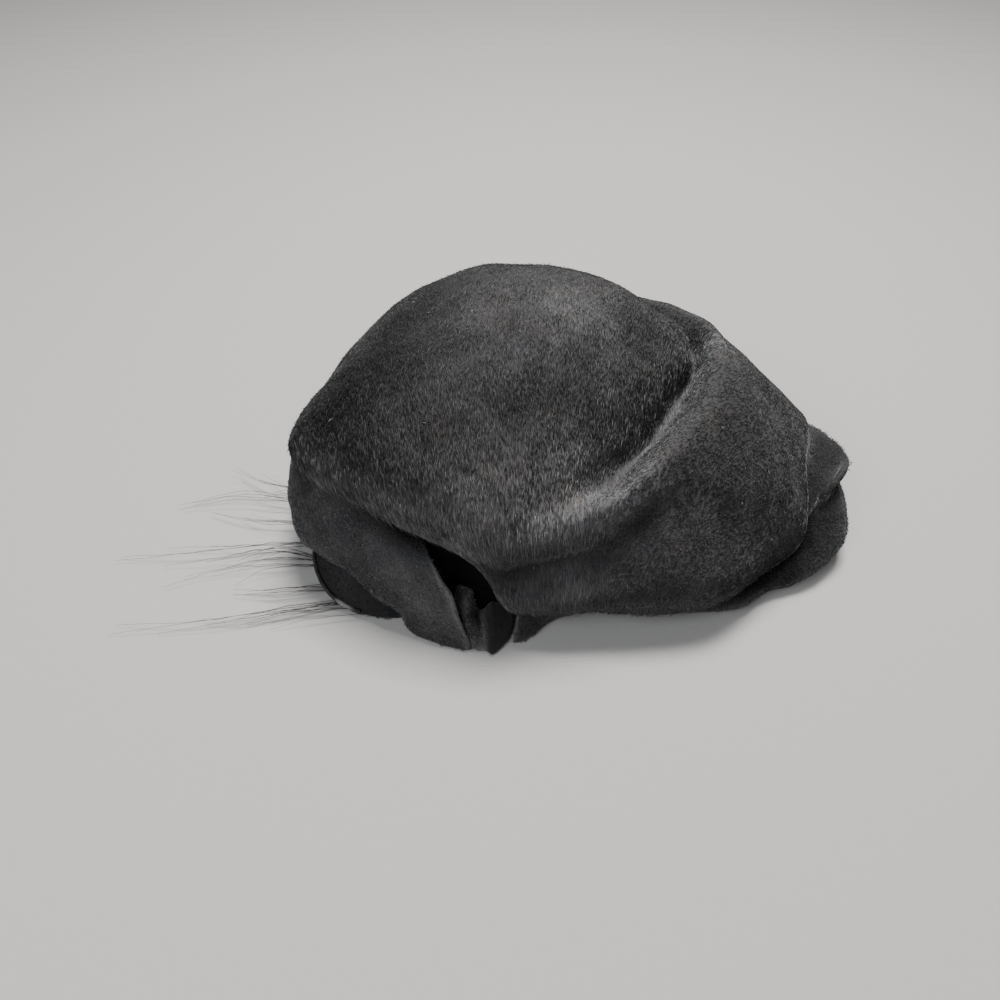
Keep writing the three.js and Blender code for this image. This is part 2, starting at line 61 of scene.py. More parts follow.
# The crown's sections: the radius and the height of each point of its profile, from the rim up.
CROWN_COLUMNS = ("azimuth", "rimR", "rimZ", "rollR", "rollZ", "valleyR", "valleyZ", "browR", "browZ",
                 "ridgeR", "ridgeZ", "creaseR", "creaseZ", "shoulderR", "shoulderZ", "topR", "topZ")
CROWN_ROWS = [
    (0, 121, 45.5, 109.5, 56, 92, 72, 79.5, 82.5, 67.5, 86, 57.5, 73, 50, 88, 29, 102),
    (20, 115, 26, 111, 41, 97, 57, 81.5, 76.5, 72.5, 84, 64, 72.5, 56, 87, 31, 102.5),
    (45, 107, 14, 109, 31, 99.5, 51, 88, 69.5, 79, 75, 70, 70.5, 60.5, 81.5, 35, 102),
    (70, 98, 12, 103, 28, 100, 46, 92, 62, 83.5, 71, 76, 73, 64, 86, 37, 103.5),
    (95, 93, 12, 96, 28, 95, 45, 91, 60, 85, 71.5, 76, 83, 62, 93.5, 40, 106),
    (120, 100, 20, 104, 32, 104, 48, 100, 63, 92, 77, 82, 88.5, 67, 97, 44, 106.5),
    (150, 111, 40, 112, 48, 110, 57, 105.5, 67, 98, 79.5, 87.5, 91, 72.5, 100.5, 48, 108),
    (165, 115.5, 50, 116.5, 56, 114, 63, 109, 71, 101.5, 80, 90, 91, 75.5, 100, 51, 107.5),
    (180, 119.5, 55, 121, 60, 117.5, 66.5, 111.5, 73.5, 104, 81, 93.5, 90, 79.5, 98.5, 54, 106.5),
    (197, 130, 56, 132, 61.5, 131.5, 68, 127, 75, 119, 82, 107, 90, 90, 97.5, 58, 106),
    (205, 126, 57, 128, 61.5, 128, 67.5, 124, 74, 117.5, 80.5, 107, 89, 91, 97, 58, 106),
    (214, 116, 57, 118, 61, 118, 66, 116, 71, 111, 77, 103, 86, 89, 95, 56, 105),
    (222, 108.5, 53.5, 111, 57, 112, 62, 111, 67, 107, 74, 100, 83, 86, 93, 53, 105),
    (230, 102, 49, 104.5, 53, 106, 58, 106, 64, 103, 71, 97, 80, 82, 91, 50, 104),
    (238, 96.5, 42, 98.5, 46, 100, 53, 101, 59, 99.5, 67, 94, 77, 79, 89, 47, 103),
    (245, 94.5, 33, 97, 38.5, 98.5, 47, 99, 55, 98, 63, 92, 74, 77, 86, 44, 102),
    (251, 96.5, 17, 99, 27, 95, 39.5, 97, 50, 96, 59, 89, 71, 73, 85, 41, 102),
    (256, 95.5, 13.5, 99, 25, 88.5, 38.5, 92.5, 50, 91.5, 60, 84, 69, 69, 83, 39, 102),
    (264, 94, 13.5, 98, 26, 84.5, 41.5, 88, 52.5, 85, 62, 76, 67.5, 63, 81, 36, 101),
    (275, 92.5, 14, 97, 28, 83, 46, 84.5, 57.5, 79.5, 67.5, 66.5, 65.5, 56, 79, 33, 101),
    (290, 100, 14, 101, 30, 79, 56, 77.5, 66.5, 71.5, 73.5, 57.5, 66, 49.5, 79, 30, 101),
    (305, 109, 14.5, 109.5, 30, 86, 57, 75.5, 71.5, 66.5, 78, 52.5, 67.5, 44.5, 82.5, 28, 101),
    (320, 113.5, 15.5, 113, 29, 98.5, 52, 75.5, 77, 64, 81.5, 50, 69, 42.5, 84.5, 27, 101),
    (331, 122.5, 24, 115, 40, 101, 57, 75, 79.5, 63.5, 83.5, 50, 70, 43, 86, 27, 101),
    (338, 119.5, 35, 111, 47, 97, 63, 75, 81, 64, 85, 50.5, 71, 44, 87, 27, 102),
    (345, 114.5, 46, 106, 56, 92, 69, 76, 82.5, 65, 86, 52, 72, 45.5, 87.5, 28, 102),
    (352, 116, 49, 106, 58, 90.5, 71, 77.5, 83, 66.5, 86.5, 54.5, 73, 47.5, 88, 28, 102),
]

# The brim's sections, from its end at the front round the right, the back and the left to its cut end:
# how deep the groove under the crown's rim is, and the radius and the height of each point below it.
BRIM_COLUMNS = ("azimuth", "groove", "upperR", "upperZ", "notchR", "notchZ", "lowerR", "lowerZ",
                "hemR", "hemZ")
BRIM_ROWS = [
    (254, 0, 98, 9.5, 100.5, 6.5, 102.5, 3.5, 103, 1.2),
    (257, 0, 96, 9.5, 98.5, 6.5, 100.5, 3.5, 101, 1.2),
    (260, 0, 92, 9.5, 93.5, 7, 94.5, 4, 94.5, 1.2),
    (264, 0, 89, 10, 89, 7.5, 89, 4.5, 88, 1.2),
    (272, 0, 86, 10.5, 85.5, 8, 85, 5, 84, 1.2),
    (290, 0, 91, 10, 89, 8, 88, 5, 85, 1.2),
    (300, 0, 100, 10, 99, 8, 99, 5, 96, 1.2),
    (310, 0, 109, 11, 110, 9, 110, 6, 106, 1.2),
    (320, 0, 115, 11.5, 117.5, 10, 118, 6, 114, 1.2),
    (331, 1, 122, 20, 128, 17, 134.5, 10, 130, 1.2),
    (338, 8, 123, 31, 128, 26, 141, 13, 135, 1.2),
    (345, 12.5, 132, 41, 131, 31, 141, 16, 134, 1.2),
    (352, 8.5, 138, 38, 132, 29, 141, 17, 134, 1.2),
    (360, 2, 131.5, 37.5, 129, 28, 137.5, 16, 131, 1.2),
    (370, -2, 122, 30.5, 122, 23, 130, 13, 125, 1.2),
    (380, -1, 118, 21, 119, 16, 123, 9, 118, 1.2),
    (405, 0, 109, 9.5, 111, 7.5, 112, 4.5, 108, 1.2),
    (430, 0, 99, 8.5, 100, 7, 100, 4.5, 97, 1.2),
    (455, 0, 94, 8.5, 95, 7, 95, 4.5, 92, 1.2),
    (480, 0, 103, 15, 105, 11, 106, 7, 103, 1.5),
    (510, 0, 116, 33, 118, 24, 117, 14, 113, 5),
    (525, 0, 122, 43, 126, 31, 125, 19, 121, 9),
    (540, -1, 127, 48, 131, 36, 129, 23, 125, 12),
    (557, -2, 134, 49, 138, 37, 137, 26, 134, 18),
    (565, 0, 130.5, 47.5, 137.5, 36, 138.5, 25, 134.5, 18),
    (570, 3, 121, 47, 133, 36.5, 134.5, 25, 131, 18),
    (574, 5.5, 114, 45.5, 127.5, 35.5, 130.5, 24.5, 127.5, 17),
    (582, 7, 107, 43, 118.5, 32.5, 123.5, 21.5, 121.5, 13),
    (588, 7, 106, 41.5, 114, 30, 119.5, 16.5, 118, 5.5),
    (592, 7, 105.5, 40, 112.5, 28, 118, 13.5, 119.5, 1.5),
    (599, 7, 105, 37.5, 109.5, 24.5, 115.5, 10.5, 118, 1.2),
    (607, 6, 104, 34, 108, 19, 112.5, 8, 114, 1.2),
]
BRIM_START = 254.6
BRIM_END_TOP = 560.0
BRIM_END_HEM = 606.0

# The band's sections: the radius of its foot, its waist and its top.
BAND_COLUMNS = ("azimuth", "footR", "waistR", "topR")
BAND_ROWS = [
    (0, 106, 107, 106),
    (20, 104, 106, 106),
    (45, 98, 99.5, 103),
    (70, 90, 90.8, 96.5),
    (95, 86, 86, 90.5),
    (120, 91.5, 91, 93.5),
    (135, 95, 94.5, 95),
    (150, 101, 101, 101),
    (180, 117, 111, 105),
    (197, 131, 116, 107),
    (207, 135.5, 118, 108),
    (216, 133.5, 116, 104),
    (224, 124.5, 108, 97.5),
    (231, 110.5, 101, 92),
    (238, 101, 92.5, 87),
    (247, 92, 86, 84),
    (256, 84, 82.5, 82),
    (272, 80, 82.5, 84),
    (290, 81.5, 85.5, 86),
    (305, 92, 94, 95),
    (320, 103, 103, 102),
    (340, 108, 108, 106),
]

# The tuck's rows, from its root behind the slit down to the surface: the azimuth and the height of
# each side, the radius at the left, the middle and the right, and how deep its pleats and the dip
# between them are.
TUCK_COLUMNS = ("leftAt", "rightAt", "leftZ", "rightZ", "leftR", "middleR", "rightR", "pleat", "dip")
TUCK_ROWS = [
    (237.5, 249.5, 18, 9.5, 96, 92, 90.8, 0.5, 7),
    (237.8, 251, 17, 9.5, 99.5, 96, 92, 1.5, 7),
    (239, 253.3, 13, 7.5, 103, 101, 94.5, 3.5, 5),
    (241.9, 253.6, 6.5, 4.5, 106, 107, 98.5, 3.5, 1.5),
    (244.2, 253.6, 2.2, 2.2, 108, 111, 103, 2.4, 0),
]

# Soft dents of the crown: the two ends of each, its half-width and its depth.
DENT_COLUMNS = ("fromX", "fromY", "toX", "toY", "width", "depth")
DENT_ROWS = [
    (-38, -66, 34, -4, 11, 3),
    (12, -62, 38, -34, 6, 2),
]

# How much paler or darker the felt is painted, in four steps: a painted highlight, softer painted
# light, softer painted shade and full painted shade, which partly stand for the lie of the velour's
# nap.
PAINTED_HIGHLIGHT = 2.0
SOFT_PAINTED_LIGHT = 0.8
SOFT_PAINTED_SHADE = -0.5
SHADED = -1.0

# Soft strokes of painted light and shade along the folds and the slopes, which partly stand for the lie
# of the nap: the two ends of each, measured from the head's centre, its reach and how much paler it
# paints the felt.
PAINTED_LIGHT_COLUMNS = ("fromX", "fromY", "fromZ", "toX", "toY", "toZ", "reach", "paler")
# Painted light on the crown's top, its low front and its rim over the flap; painted shade down its left
# slope and along a bend across it.
CROWN_PAINTED_LIGHT_ROWS = [
    (-45, 10, 108, 0, 5, 109, 25, SOFT_PAINTED_LIGHT),
    (-60, 20, 102, -105, -35, 89, 35, SHADED),
    (-25, -50, 96, 35, -5, 95, 10, SOFT_PAINTED_SHADE),
    (-115, -54, 67, -67, -81, 64, 8, PAINTED_HIGHLIGHT),
    (-50, -87, 64, 10, -80, 64, 15, PAINTED_HIGHLIGHT),
    (-30, -75, 76, 10, -66, 75, 15, SOFT_PAINTED_LIGHT),
]
# A painted highlight along the rolled ridge and softer painted light on its crest at the front; painted
# shade in the crease between the ridge and the dome.
RIDGE_PAINTED_LIGHT_ROWS = [
    (64, 14, 80, 30, -48, 67, 12, PAINTED_HIGHLIGHT),
    (30, -66, 68, 0, -84, 60, 9, SOFT_PAINTED_LIGHT),
    (60, 28, 75, 54, -2, 76, 5, SHADED),
    (54, -2, 76, 22, -46, 70, 5, SHADED),
]
# Painted shade in the valley under the crest, under the wing, on its lower right and along its free
# edge; a painted highlight on the front roll.
WING_PAINTED_LIGHT_ROWS = [
    (-30, -89, 42, 26, -75, 57, 9, SHADED),
    (-30, -94, 23, -3, -93, 32, 9, PAINTED_HIGHLIGHT),
    (-16, -96, 21, 93, -69, 14, 14, SHADED),
    (124, -50, 21, 97, -71, 13, 16, SOFT_PAINTED_SHADE),
    (110, -30, 47, 108, -58, 22, 4, SOFT_PAINTED_SHADE),
]
# Painted shade in the hollow under the crown's lip over the flap, at the flap's foot and on the nub at
# the right; softer painted light on the flap's roll.
BRIM_PAINTED_LIGHT_ROWS = [
    (-102, -64, 64, -55, -75, 29, 7, SHADED),
    (-111, -58, 47, -63, -93, 21, 10, SOFT_PAINTED_LIGHT),
    (-102, -76, 24, -74, -92, 6, 8, SOFT_PAINTED_SHADE),
    (130, -11, 37, 114, -45, 29, 15, SOFT_PAINTED_SHADE),
]
PAINTED_LIGHT_ROWS = CROWN_PAINTED_LIGHT_ROWS + RIDGE_PAINTED_LIGHT_ROWS + WING_PAINTED_LIGHT_ROWS + BRIM_PAINTED_LIGHT_ROWS

# The spray's locks: the azimuth of the root on the quill, heading, length, sideways bend, rise over
# the surface and height of the tip.
LOCK_COLUMNS = ("rootAt", "heading", "length", "bend", "rise", "tip")
LOCK_ROWS = [
    (187, 158, 62, 5, 5, 4),
    (189, 178, 79, -6, 3, 2),
    (194, 171, 58, 4, 4, 3),
    (199, 186, 97, 3, 3, 1.6),
    (203, 180, 46, -3, 3, 2),
    (205, 190, 72, -3, 2, 1.6),
    (211, 182, 44, 2, 2, 2),
    (216, 189.5, 103, 3, 2, 1.6),
    (219, 190, 52, -2, 1, 1.4),
]
QUILL_FROM = 186.0
QUILL_TO = 221.0
QUILL_OFF_BAND = 0.3
QUILL_HEIGHT = 3.0


def named_rows(columns, rows):
    """Returns each row of a table as a dictionary of its columns."""
    return [dict(zip(columns, row)) for row in rows]


class Sections:
    """A table with a row for each section, read at any azimuth by a cubic through its rows."""

    def __init__(self, columns, rows, closed=True):
        self.columns = columns
        rows = np.array(rows, float)
        if closed:
            before, after = rows[-3:].copy(), rows[:3].copy()
            before[:, 0] -= 360
            after[:, 0] += 360
            rows = np.vstack([before, rows, after])
        self.rows = rows
        self.closed = closed
        where = rows[:, 0]
        slopes = np.empty_like(rows)
        slopes[1:-1] = (rows[2:] - rows[:-2]) / (where[2:] - where[:-2])[:, None]
        slopes[0] = (rows[1] - rows[0]) / (where[1] - where[0])
        slopes[-1] = (rows[-1] - rows[-2]) / (where[-1] - where[-2])
        self.slopes = slopes

    def at(self, azimuths):
        """Returns each column's values at the azimuths."""
        azimuths = np.asarray(azimuths, float)
        where = azimuths % 360 if self.closed else azimuths
        k = np.clip(np.searchsorted(self.rows[:, 0], where, side="right") - 1, 0, len(self.rows) - 2)
        span = self.rows[k + 1, 0] - self.rows[k, 0]
        t = ((where - self.rows[k, 0]) / span)[..., None]
        span = span[..., None]
        values = (
            self.rows[k] * (1 + 2 * t) * (1 - t) ** 2
            + self.rows[k + 1] * t * t * (3 - 2 * t)
            + self.slopes[k] * span * t * (1 - t) ** 2
            - self.slopes[k + 1] * span * t * t * (1 - t)
        )
        return {name: values[..., i] for i, name in enumerate(self.columns)}


def spline(points, shares):
    """Reads centripetal splines through points[..., k, :] at shares of their length in points."""
    points = np.asarray(points, float)
    first = 2 * points[..., :1, :] - points[..., 1:2, :]
    last = 2 * points[..., -1:, :] - points[..., -2:-1, :]
    points = np.concatenate([first, points, last], axis=-2)
    spans = points.shape[-2] - 3
    place = np.clip(np.asarray(shares, float), 0, 1) * spans
    k = np.minimum(place.astype(int), spans - 1)
    t = (place - k)[:, None]
    p0, p1, p2, p3 = (points[..., k + i, :] for i in range(4))

    def gap(a, b):
        return np.maximum(np.linalg.norm(b - a, axis=-1, keepdims=True), 1e-6) ** 0.5

    g0, g1, g2 = gap(p0, p1), gap(p1, p2), gap(p2, p3)
    m1 = ((p1 - p0) / g0 - (p2 - p0) / (g0 + g1) + (p2 - p1) / g1) * g1
    m2 = ((p2 - p1) / g1 - (p3 - p1) / (g1 + g2) + (p3 - p2) / g2) * g1
    return (
        p1 + m1 * t
        + (-3 * p1 + 3 * p2 - 2 * m1 - m2) * t ** 2
        + (2 * p1 - 2 * p2 + m1 + m2) * t ** 3
    )


def around(azimuths, radii, heights):
    """Returns points of the half-planes at the azimuths, measured from the head's centre."""
    turn, radii, heights = np.broadcast_arrays(np.radians(azimuths), radii, heights)
    return np.stack([radii * np.cos(turn), radii * np.sin(turn), heights], axis=-1)


def unit(vectors):
    """Returns the vectors with a length of 1."""
    length = np.linalg.norm(vectors, axis=-1, keepdims=True)
    return vectors / np.maximum(length, 1e-9)


def smooth_step(low, high, value):
    """Rises softly from 0 at low to 1 at high."""
    t = np.clip((value - low) / (high - low), 0, 1)
    return t * t * (3 - 2 * t)


def between(value, low, low_end, high, high_end):
    """Rises from 0 to 1 from low to low_end and falls back from high to high_end."""
    return smooth_step(low, low_end, value) * (1 - smooth_step(high, high_end, value))


def ripple(points, size, seed, waves=28):
    """Returns a soft random wave over the points, about 1 high, whose bumps are size apart."""
    draw = np.random.default_rng(seed)
    ways = unit(draw.normal(size=(waves, 3)))
    lengths = size * draw.uniform(0.75, 1.6, size=waves)
    phases = draw.uniform(0, 2 * math.pi, size=waves)
    total = np.zeros(points.shape[:-1])
    for way, length, phase in zip(ways, lengths, phases):
        total += np.cos(points @ way * (2 * math.pi / length) + phase)
    return total / math.sqrt(waves / 2)


CROWN = Sections(CROWN_COLUMNS, CROWN_ROWS)
BRIM = Sections(BRIM_COLUMNS, BRIM_ROWS, closed=False)
BAND = Sections(BAND_COLUMNS, BAND_ROWS)

# The named points of a profile, the crown's from its rim up and the brim's down to its hem.
CROWN_POINTS = ("rim", "roll", "valley", "brow", "ridge", "crease", "shoulder", "top")
BRIM_POINTS = ("upper", "notch", "lower", "hem")
SPANS = len(CROWN_POINTS) + 1

# How pale the felt stays where strokes of painted shade meet.
DARKEST_PAINTED_SHADE = 0.04


def crown_points(azimuths, marks):
    """Returns points of the crown's outer face, marks being profile points up from the rim."""
    azimuths = np.asarray(azimuths, float)
    near, far = CROWN.at(azimuths), CROWN.at(azimuths + 180)
    radii = [near[name + "R"] for name in CROWN_POINTS] + [np.zeros_like(azimuths), -far["topR"]]
    heights = [near[name + "Z"] for name in CROWN_POINTS]
    heights += [np.full_like(azimuths, CROWN_TOP), far["topZ"]]
    line = np.stack([np.stack(radii, -1), np.stack(heights, -1)], -1)
    flat = spline(line, np.asarray(marks, float) / SPANS)
    return around(azimuths[:, None], flat[..., 0], flat[..., 1])


def under_crown(azimuths, mark, past_rim=0.0):
    """Returns points under the crown's wall and clear of it, moved down past the rim."""
    here, above = (crown_points(azimuths, [mark + step])[:, 0] for step in (0, 0.05))
    left, right = (crown_points(azimuths + step, [mark])[:, 0] for step in (1, -1))
    up = unit(above - here)
    inward = unit(np.cross(up, left - right))
    return here + inward * (FELT + SEAT_GAP) - up * past_rim


def brim_points(azimuths, shares):
    """Returns points of the brim's outer face, azimuths[i, j] and shares[j] from its hidden edge."""
    out = np.empty(azimuths.shape + (3,))
    for j, share in enumerate(shares):
        at = azimuths[:, j]
        s = BRIM.at(at)
        below = [around(at, s[name + "R"], s[name + "Z"]) for name in BRIM_POINTS]
        seat = under_crown(at, 0.0, 2.0)
        inward = unit(np.cross(around(at + 90, 1, 0), below[0] - seat))
        groove = (seat + below[0]) / 2 + inward * s["groove"][:, None]
        line = np.stack([under_crown(at, 0.6), seat, groove] + below, axis=1)
        out[:, j] = spline(line, [share])[:, 0]
    return out


def near_stroke(points, start, end, reach):
    """Returns 1 on the line from start to end, falling softly to 0 beyond its reach."""
    start, end = np.array(start, float), np.array(end, float)
    way = end - start
    share = np.clip((points - start) @ way / (way @ way), 0, 1)
    away = np.linalg.norm(points - start - share[..., None] * way, axis=-1)
    return np.exp(-((away / reach) ** 2))


def dented(points):
    """Presses the crown's points down where they lie in a dent."""
    points = points.copy()
    for dent in named_rows(DENT_COLUMNS, DENT_ROWS):
        start, end = (dent["fromX"], dent["fromY"]), (dent["toX"], dent["toY"])
        points[..., 2] -= dent["depth"] * near_stroke(points[..., :2], start, end, dent["width"])
    return points


def brushed(points):
    """Returns how pale the strokes of painted light and shade, which partly stand for the lie of the
    nap, make the felt at each point.
    """
    total = np.ones(points.shape[:-1])
    for stroke in named_rows(PAINTED_LIGHT_COLUMNS, PAINTED_LIGHT_ROWS):
        start, end = ([stroke[side + axis] for axis in "XYZ"] for side in ("from", "to"))
        total += stroke["paler"] * near_stroke(points, start, end, stroke["reach"])
    return np.maximum(total, DARKEST_PAINTED_SHADE)


def grid_normals(grid, closed, pole=False):
    """Returns the outward normals of a grid of points, grid[column, row]."""
    if closed:
        across = np.roll(grid, -1, axis=0) - np.roll(grid, 1, axis=0)
    else:
        across = np.gradient(grid, axis=0)
    up = np.gradient(grid, axis=1)
    normals = unit(np.cross(across, up))
    if pole:
        normals[:, -1] = (0, 0, 1)
    return normals


class Mesh:
    """Gathers points, faces and point values for one Blender mesh."""

    def __init__(self):
        self.points = []
        self.faces = []
        self.values = {}
        self.count = 0

    def add(self, points, faces, **values):
        """Adds points, blocks of faces over them and a value of each name for each point."""
        self.points.append(points)
        self.faces.extend(np.asarray(block) + self.count for block in faces)
        for name, value in values.items():
            self.values.setdefault(name, []).append(value)
        self.count += len(points)

    def make(self, name, material):
        """Makes the Blender object, closed and facing outward, riding on the hat's body."""
        points = (np.concatenate(self.points) + HEAD_CENTRE) * MM
        loops = np.concatenate([block.ravel() for block in self.faces])
        used, loops = np.unique(loops, return_inverse=True)
        points = points[used]
        sizes = np.concatenate([np.full(len(block), block.shape[1]) for block in self.faces])
        mesh = bpy.data.meshes.new(name)
        mesh.vertices.add(len(points))
        mesh.vertices.foreach_set("co", points.ravel())
        mesh.loops.add(len(loops))
        mesh.loops.foreach_set("vertex_index", loops)
        mesh.polygons.add(len(sizes))
        mesh.polygons.foreach_set("loop_start", np.concatenate([[0], np.cumsum(sizes)[:-1]]))
        mesh.polygons.foreach_set("use_smooth", np.ones(len(sizes), bool))
        for label, value in self.values.items():
            value = np.concatenate(value)[used]
            kind, field = ("FLOAT_VECTOR", "vector") if value.ndim == 2 else ("FLOAT", "value")
            mesh.attributes.new(label, kind, "POINT").data.foreach_set(field, value.ravel())
        mesh.update()
        mesh.validate()
        mesh.materials.append(material)
        piece = bpy.data.objects.new(name, mesh)
        bpy.context.scene.collection.objects.link(piece)
        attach(piece, "root")
        return piece


class Felt:
    """A closed sheet of felt with a rounded lower edge, built on a grid of its outer face.

    outer[column, row] runs from the lower edge up, and a pole closes its last row."""

    EDGE_ROWS = 4

    def __init__(self, outer, thickness=FELT, closed=True, pole=False, inner_step=1, inset=0.0):
        self.closed, self.pole = closed, pole
        self.normals = grid_normals(outer, closed, pole)
        inset = np.broadcast_to(inset, outer.shape[:2])
        thickness = np.broadcast_to(thickness, outer.shape[:2]) - 2 * inset
        outer = outer - self.normals * inset[..., None]
        self.outer = outer
        inner = outer - self.normals * thickness[..., None]
        last = outer.shape[1] - 1
        inner_rows = np.unique(np.append(np.arange(0, last, inner_step), last))
        path = [outer[:, ::-1], self.rounded_edge(inner, thickness), inner[:, inner_rows]]
        self.path = np.concatenate(path, axis=1)
        self.path[..., 2] = np.maximum(self.path[..., 2], 0)
        self.rows = np.concatenate([np.arange(last, -1, -1), np.zeros(self.EDGE_ROWS, int), inner_rows])

    def rounded_edge(self, inner, thickness):
        """Returns the rows that round the lower edge between the outer and the inner face."""
        down = -unit(self.outer[:, 1] - self.outer[:, 0])[:, None]
        middle = (self.outer[:, :1] + inner[:, :1]) / 2
        turns = np.linspace(0, math.pi, self.EDGE_ROWS + 2)[None, 1:-1, None]
        ring = np.cos(turns) * self.normals[:, :1] + np.sin(turns) * down
        return middle + thickness[:, :1, None] / 2 * ring

    def faces(self):
        """Returns the blocks of faces that close the sheet."""
        columns, rows = self.path.shape[:2]
        index = np.arange(columns * rows).reshape(columns, rows)
        if self.pole:
            index[:, 0], index[:, -1] = index[0, 0], index[0, -1]
        spans = columns if self.closed else columns - 1
        a, b = index[:spans], np.roll(index, -1, axis=0)[:spans]
        if self.pole:
            top = np.stack([a[:, 0], a[:, 1], b[:, 1]], -1)
            bottom = np.stack([a[:, -2], a[:, -1], b[:, -2]], -1)
            quads = [a[:, 1:-2], a[:, 2:-1], b[:, 2:-1], b[:, 1:-2]]
            return [np.stack(quads, -1).reshape(-1, 4), top, bottom]
        quads = [a, np.roll(a, -1, axis=1), np.roll(b, -1, axis=1), b]
        blocks = [np.stack(quads, -1).reshape(-1, 4)]
        if not self.closed:
            k = np.arange(rows // 2 - 1)
            for end, order in ((index[0], 1), (index[-1], -1)):
                cap = np.stack([end[k], end[rows - 1 - k], end[rows - 2 - k], end[k + 1]], -1)
                blocks.append(cap[:, ::order])
        return blocks

    def over(self, value):
        """Lays a value of the outer face's grid over every point of the sheet."""
        return value[:, self.rows].reshape((-1,) + value.shape[2:])

    def scatter(self, draw, count, weight=None):
        """Draws points of the outer face by area, with their normals and their places on the grid."""
        a = self.outer
        b = np.roll(a, -1, axis=0)
        if not self.closed:
            a, b = a[:-1], b[:-1]
        area = np.linalg.norm(np.cross(b[:, 1:] - a[:, :-1], a[:, 1:] - b[:, :-1]), axis=-1) / 2
        if weight is not None:
            area = area * weight[:len(a), :-1]
        pick = draw.choice(area.size, size=count, p=(area / area.sum()).ravel())
        column, row = np.divmod(pick, area.shape[1])
        u, v = draw.random((2, count, 1))
        after = (column + 1) % len(self.outer)

        def blend(grid):
            low = grid[column, row] * (1 - u) + grid[after, row] * u
            high = grid[column, row + 1] * (1 - u) + grid[after, row + 1] * u
            return low * (1 - v) + high * v

        return blend(self.outer), unit(blend(self.normals)), column, row


def fibres(draw, roots, normals, ways, length, width, lift):
    """Returns the points and faces of one thin closed spike at each root, lying along its way."""
    count = len(roots)
    ways = unit(ways - normals * np.sum(ways * normals, axis=-1, keepdims=True))
    side = np.cross(normals, ways)
    long = (length * draw.uniform(0.6, 1.35, count))[:, None]
    wide = (width * draw.uniform(0.7, 1.3, count))[:, None]
    rise = (lift * draw.uniform(0.2, 1.8, count))[:, None]
    base = roots - normals * 0.15
    spikes = np.stack([
        base - side * wide / 2,
        base + side * wide / 2,
        roots + ways * long * 0.3 + normals * (wide * 0.8 + rise * 0.4),
        roots + ways * long + normals * rise,
    ], axis=1)
    spikes[..., 2] = np.maximum(spikes[..., 2], 0)
    start = np.arange(count)[:, None, None] * 4
    faces = start + np.array([[0, 2, 3], [2, 1, 3], [0, 3, 1], [0, 1, 2]])
    return spikes.reshape(-1, 3), [faces.reshape(-1, 3)]


def strand(path, radii, sides):
    """Returns the points and faces of a closed tapering strand along a path."""
    way = unit(np.gradient(path, axis=0))
    first = unit(np.cross(way, [0.13, 0.21, 0.97]))
    second = np.cross(way, first)
    turns = np.linspace(0, 2 * math.pi, sides, endpoint=False)[None, :, None]
    ring = np.cos(turns) * first[:, None] + np.sin(turns) * second[:, None]
    points = path[:, None] + ring * np.asarray(radii)[:, None, None]
    index = np.arange(len(path) * sides).reshape(len(path), sides)
    a, b = index[:-1], index[1:]
    quads = np.stack([a, np.roll(a, -1, 1), np.roll(b, -1, 1), b], -1).reshape(-1, 4)
    fan = np.arange(1, sides - 1)
    start = np.stack([index[0, fan * 0], index[0, fan + 1], index[0, fan]], -1)
    end = np.stack([index[-1, fan * 0], index[-1, fan], index[-1, fan + 1]], -1)
    return points.reshape(-1, 3), [quads, start, end]


class Number:
    """A shader value that takes part in sums, which add their Math nodes."""

    def __init__(self, finish, socket):
        self.finish, self.socket = finish, socket

    def sum(self, operation, *terms):
        return self.finish.add("ShaderNodeMath", {"operation": operation}, *terms).number()

    def __add__(self, other):
        return self.sum("ADD", self, other)

    def __sub__(self, other):
        return self.sum("SUBTRACT", self, other)

    def __rsub__(self, other):
        return self.sum("SUBTRACT", other, self)

    def __mul__(self, other):
        return self.sum("MULTIPLY", self, other)

    __radd__, __rmul__ = __add__, __mul__


class Finish:
    """A material whose nodes are added one call at a time."""

    def __init__(self, name):
        self.material = bpy.data.materials.new(name)
        self.material.use_nodes = True
        self.tree = self.material.node_tree
        self.tree.nodes.clear()

    def add(self, kind, settings=None, *sockets, **named):
        """Adds a node: its settings first, then the values or links of its sockets."""
        node = self.tree.nodes.new(kind)
        for name, value in (settings or {}).items():
            setattr(node, name, value)
        for socket, value in list(enumerate(sockets)) + list(named.items()):
            if isinstance(socket, str):
                socket = socket.replace("_", " ")
            self.feed(node.inputs[socket], value)
        return Node(self, node)

    def feed(self, socket, value):
        if isinstance(value, (Number, Node)):
            self.tree.links.new(value.socket, socket)
        else:
            socket.default_value = value

    def mix(self, factor, first, second, blend="MIX"):
        """Mixes two colours."""
        mixed = self.add("ShaderNodeMix", {"data_type": "RGBA", "blend_type": blend}, factor)
        for socket, value in ((6, first), (7, second)):
            if isinstance(value, tuple):
                value = (*value, 1)
            self.feed(mixed.node.inputs[socket], value)
        return mixed.take(2)

    def value(self, label):
        """Reads a value of the mesh's points."""
        return self.add("ShaderNodeAttribute", {"attribute_name": label}).number("Fac")

    def noise(self, place, scale, detail, roughness=0.5):
        """Adds soft noise over a place."""
        node = self.add(
            "ShaderNodeTexNoise", None, Vector=place, Scale=scale, Detail=detail, Roughness=roughness)
        return node.number()

    def clamped(self, value):
        """Keeps a value between 0 and 1."""
        return self.add("ShaderNodeClamp", None, value).number()

    def finish(self, shader):
        """Links the shader to the material's output and returns the material."""
        self.add("ShaderNodeOutputMaterial", None, shader)
        return self.material


class Node:
    """A node with the output that later nodes take."""

    def __init__(self, finish, node, output=0):
        self.finish, self.node, self.output = finish, node, output

    @property
    def socket(self):
        return self.node.outputs[self.output]

    def number(self, output=0):
        """Takes an output as a value for sums."""
        return Number(self.finish, self.node.outputs[output])

    def take(self, output):
        """Takes an output as a colour or a vector."""
        return Node(self.finish, self.node, output)


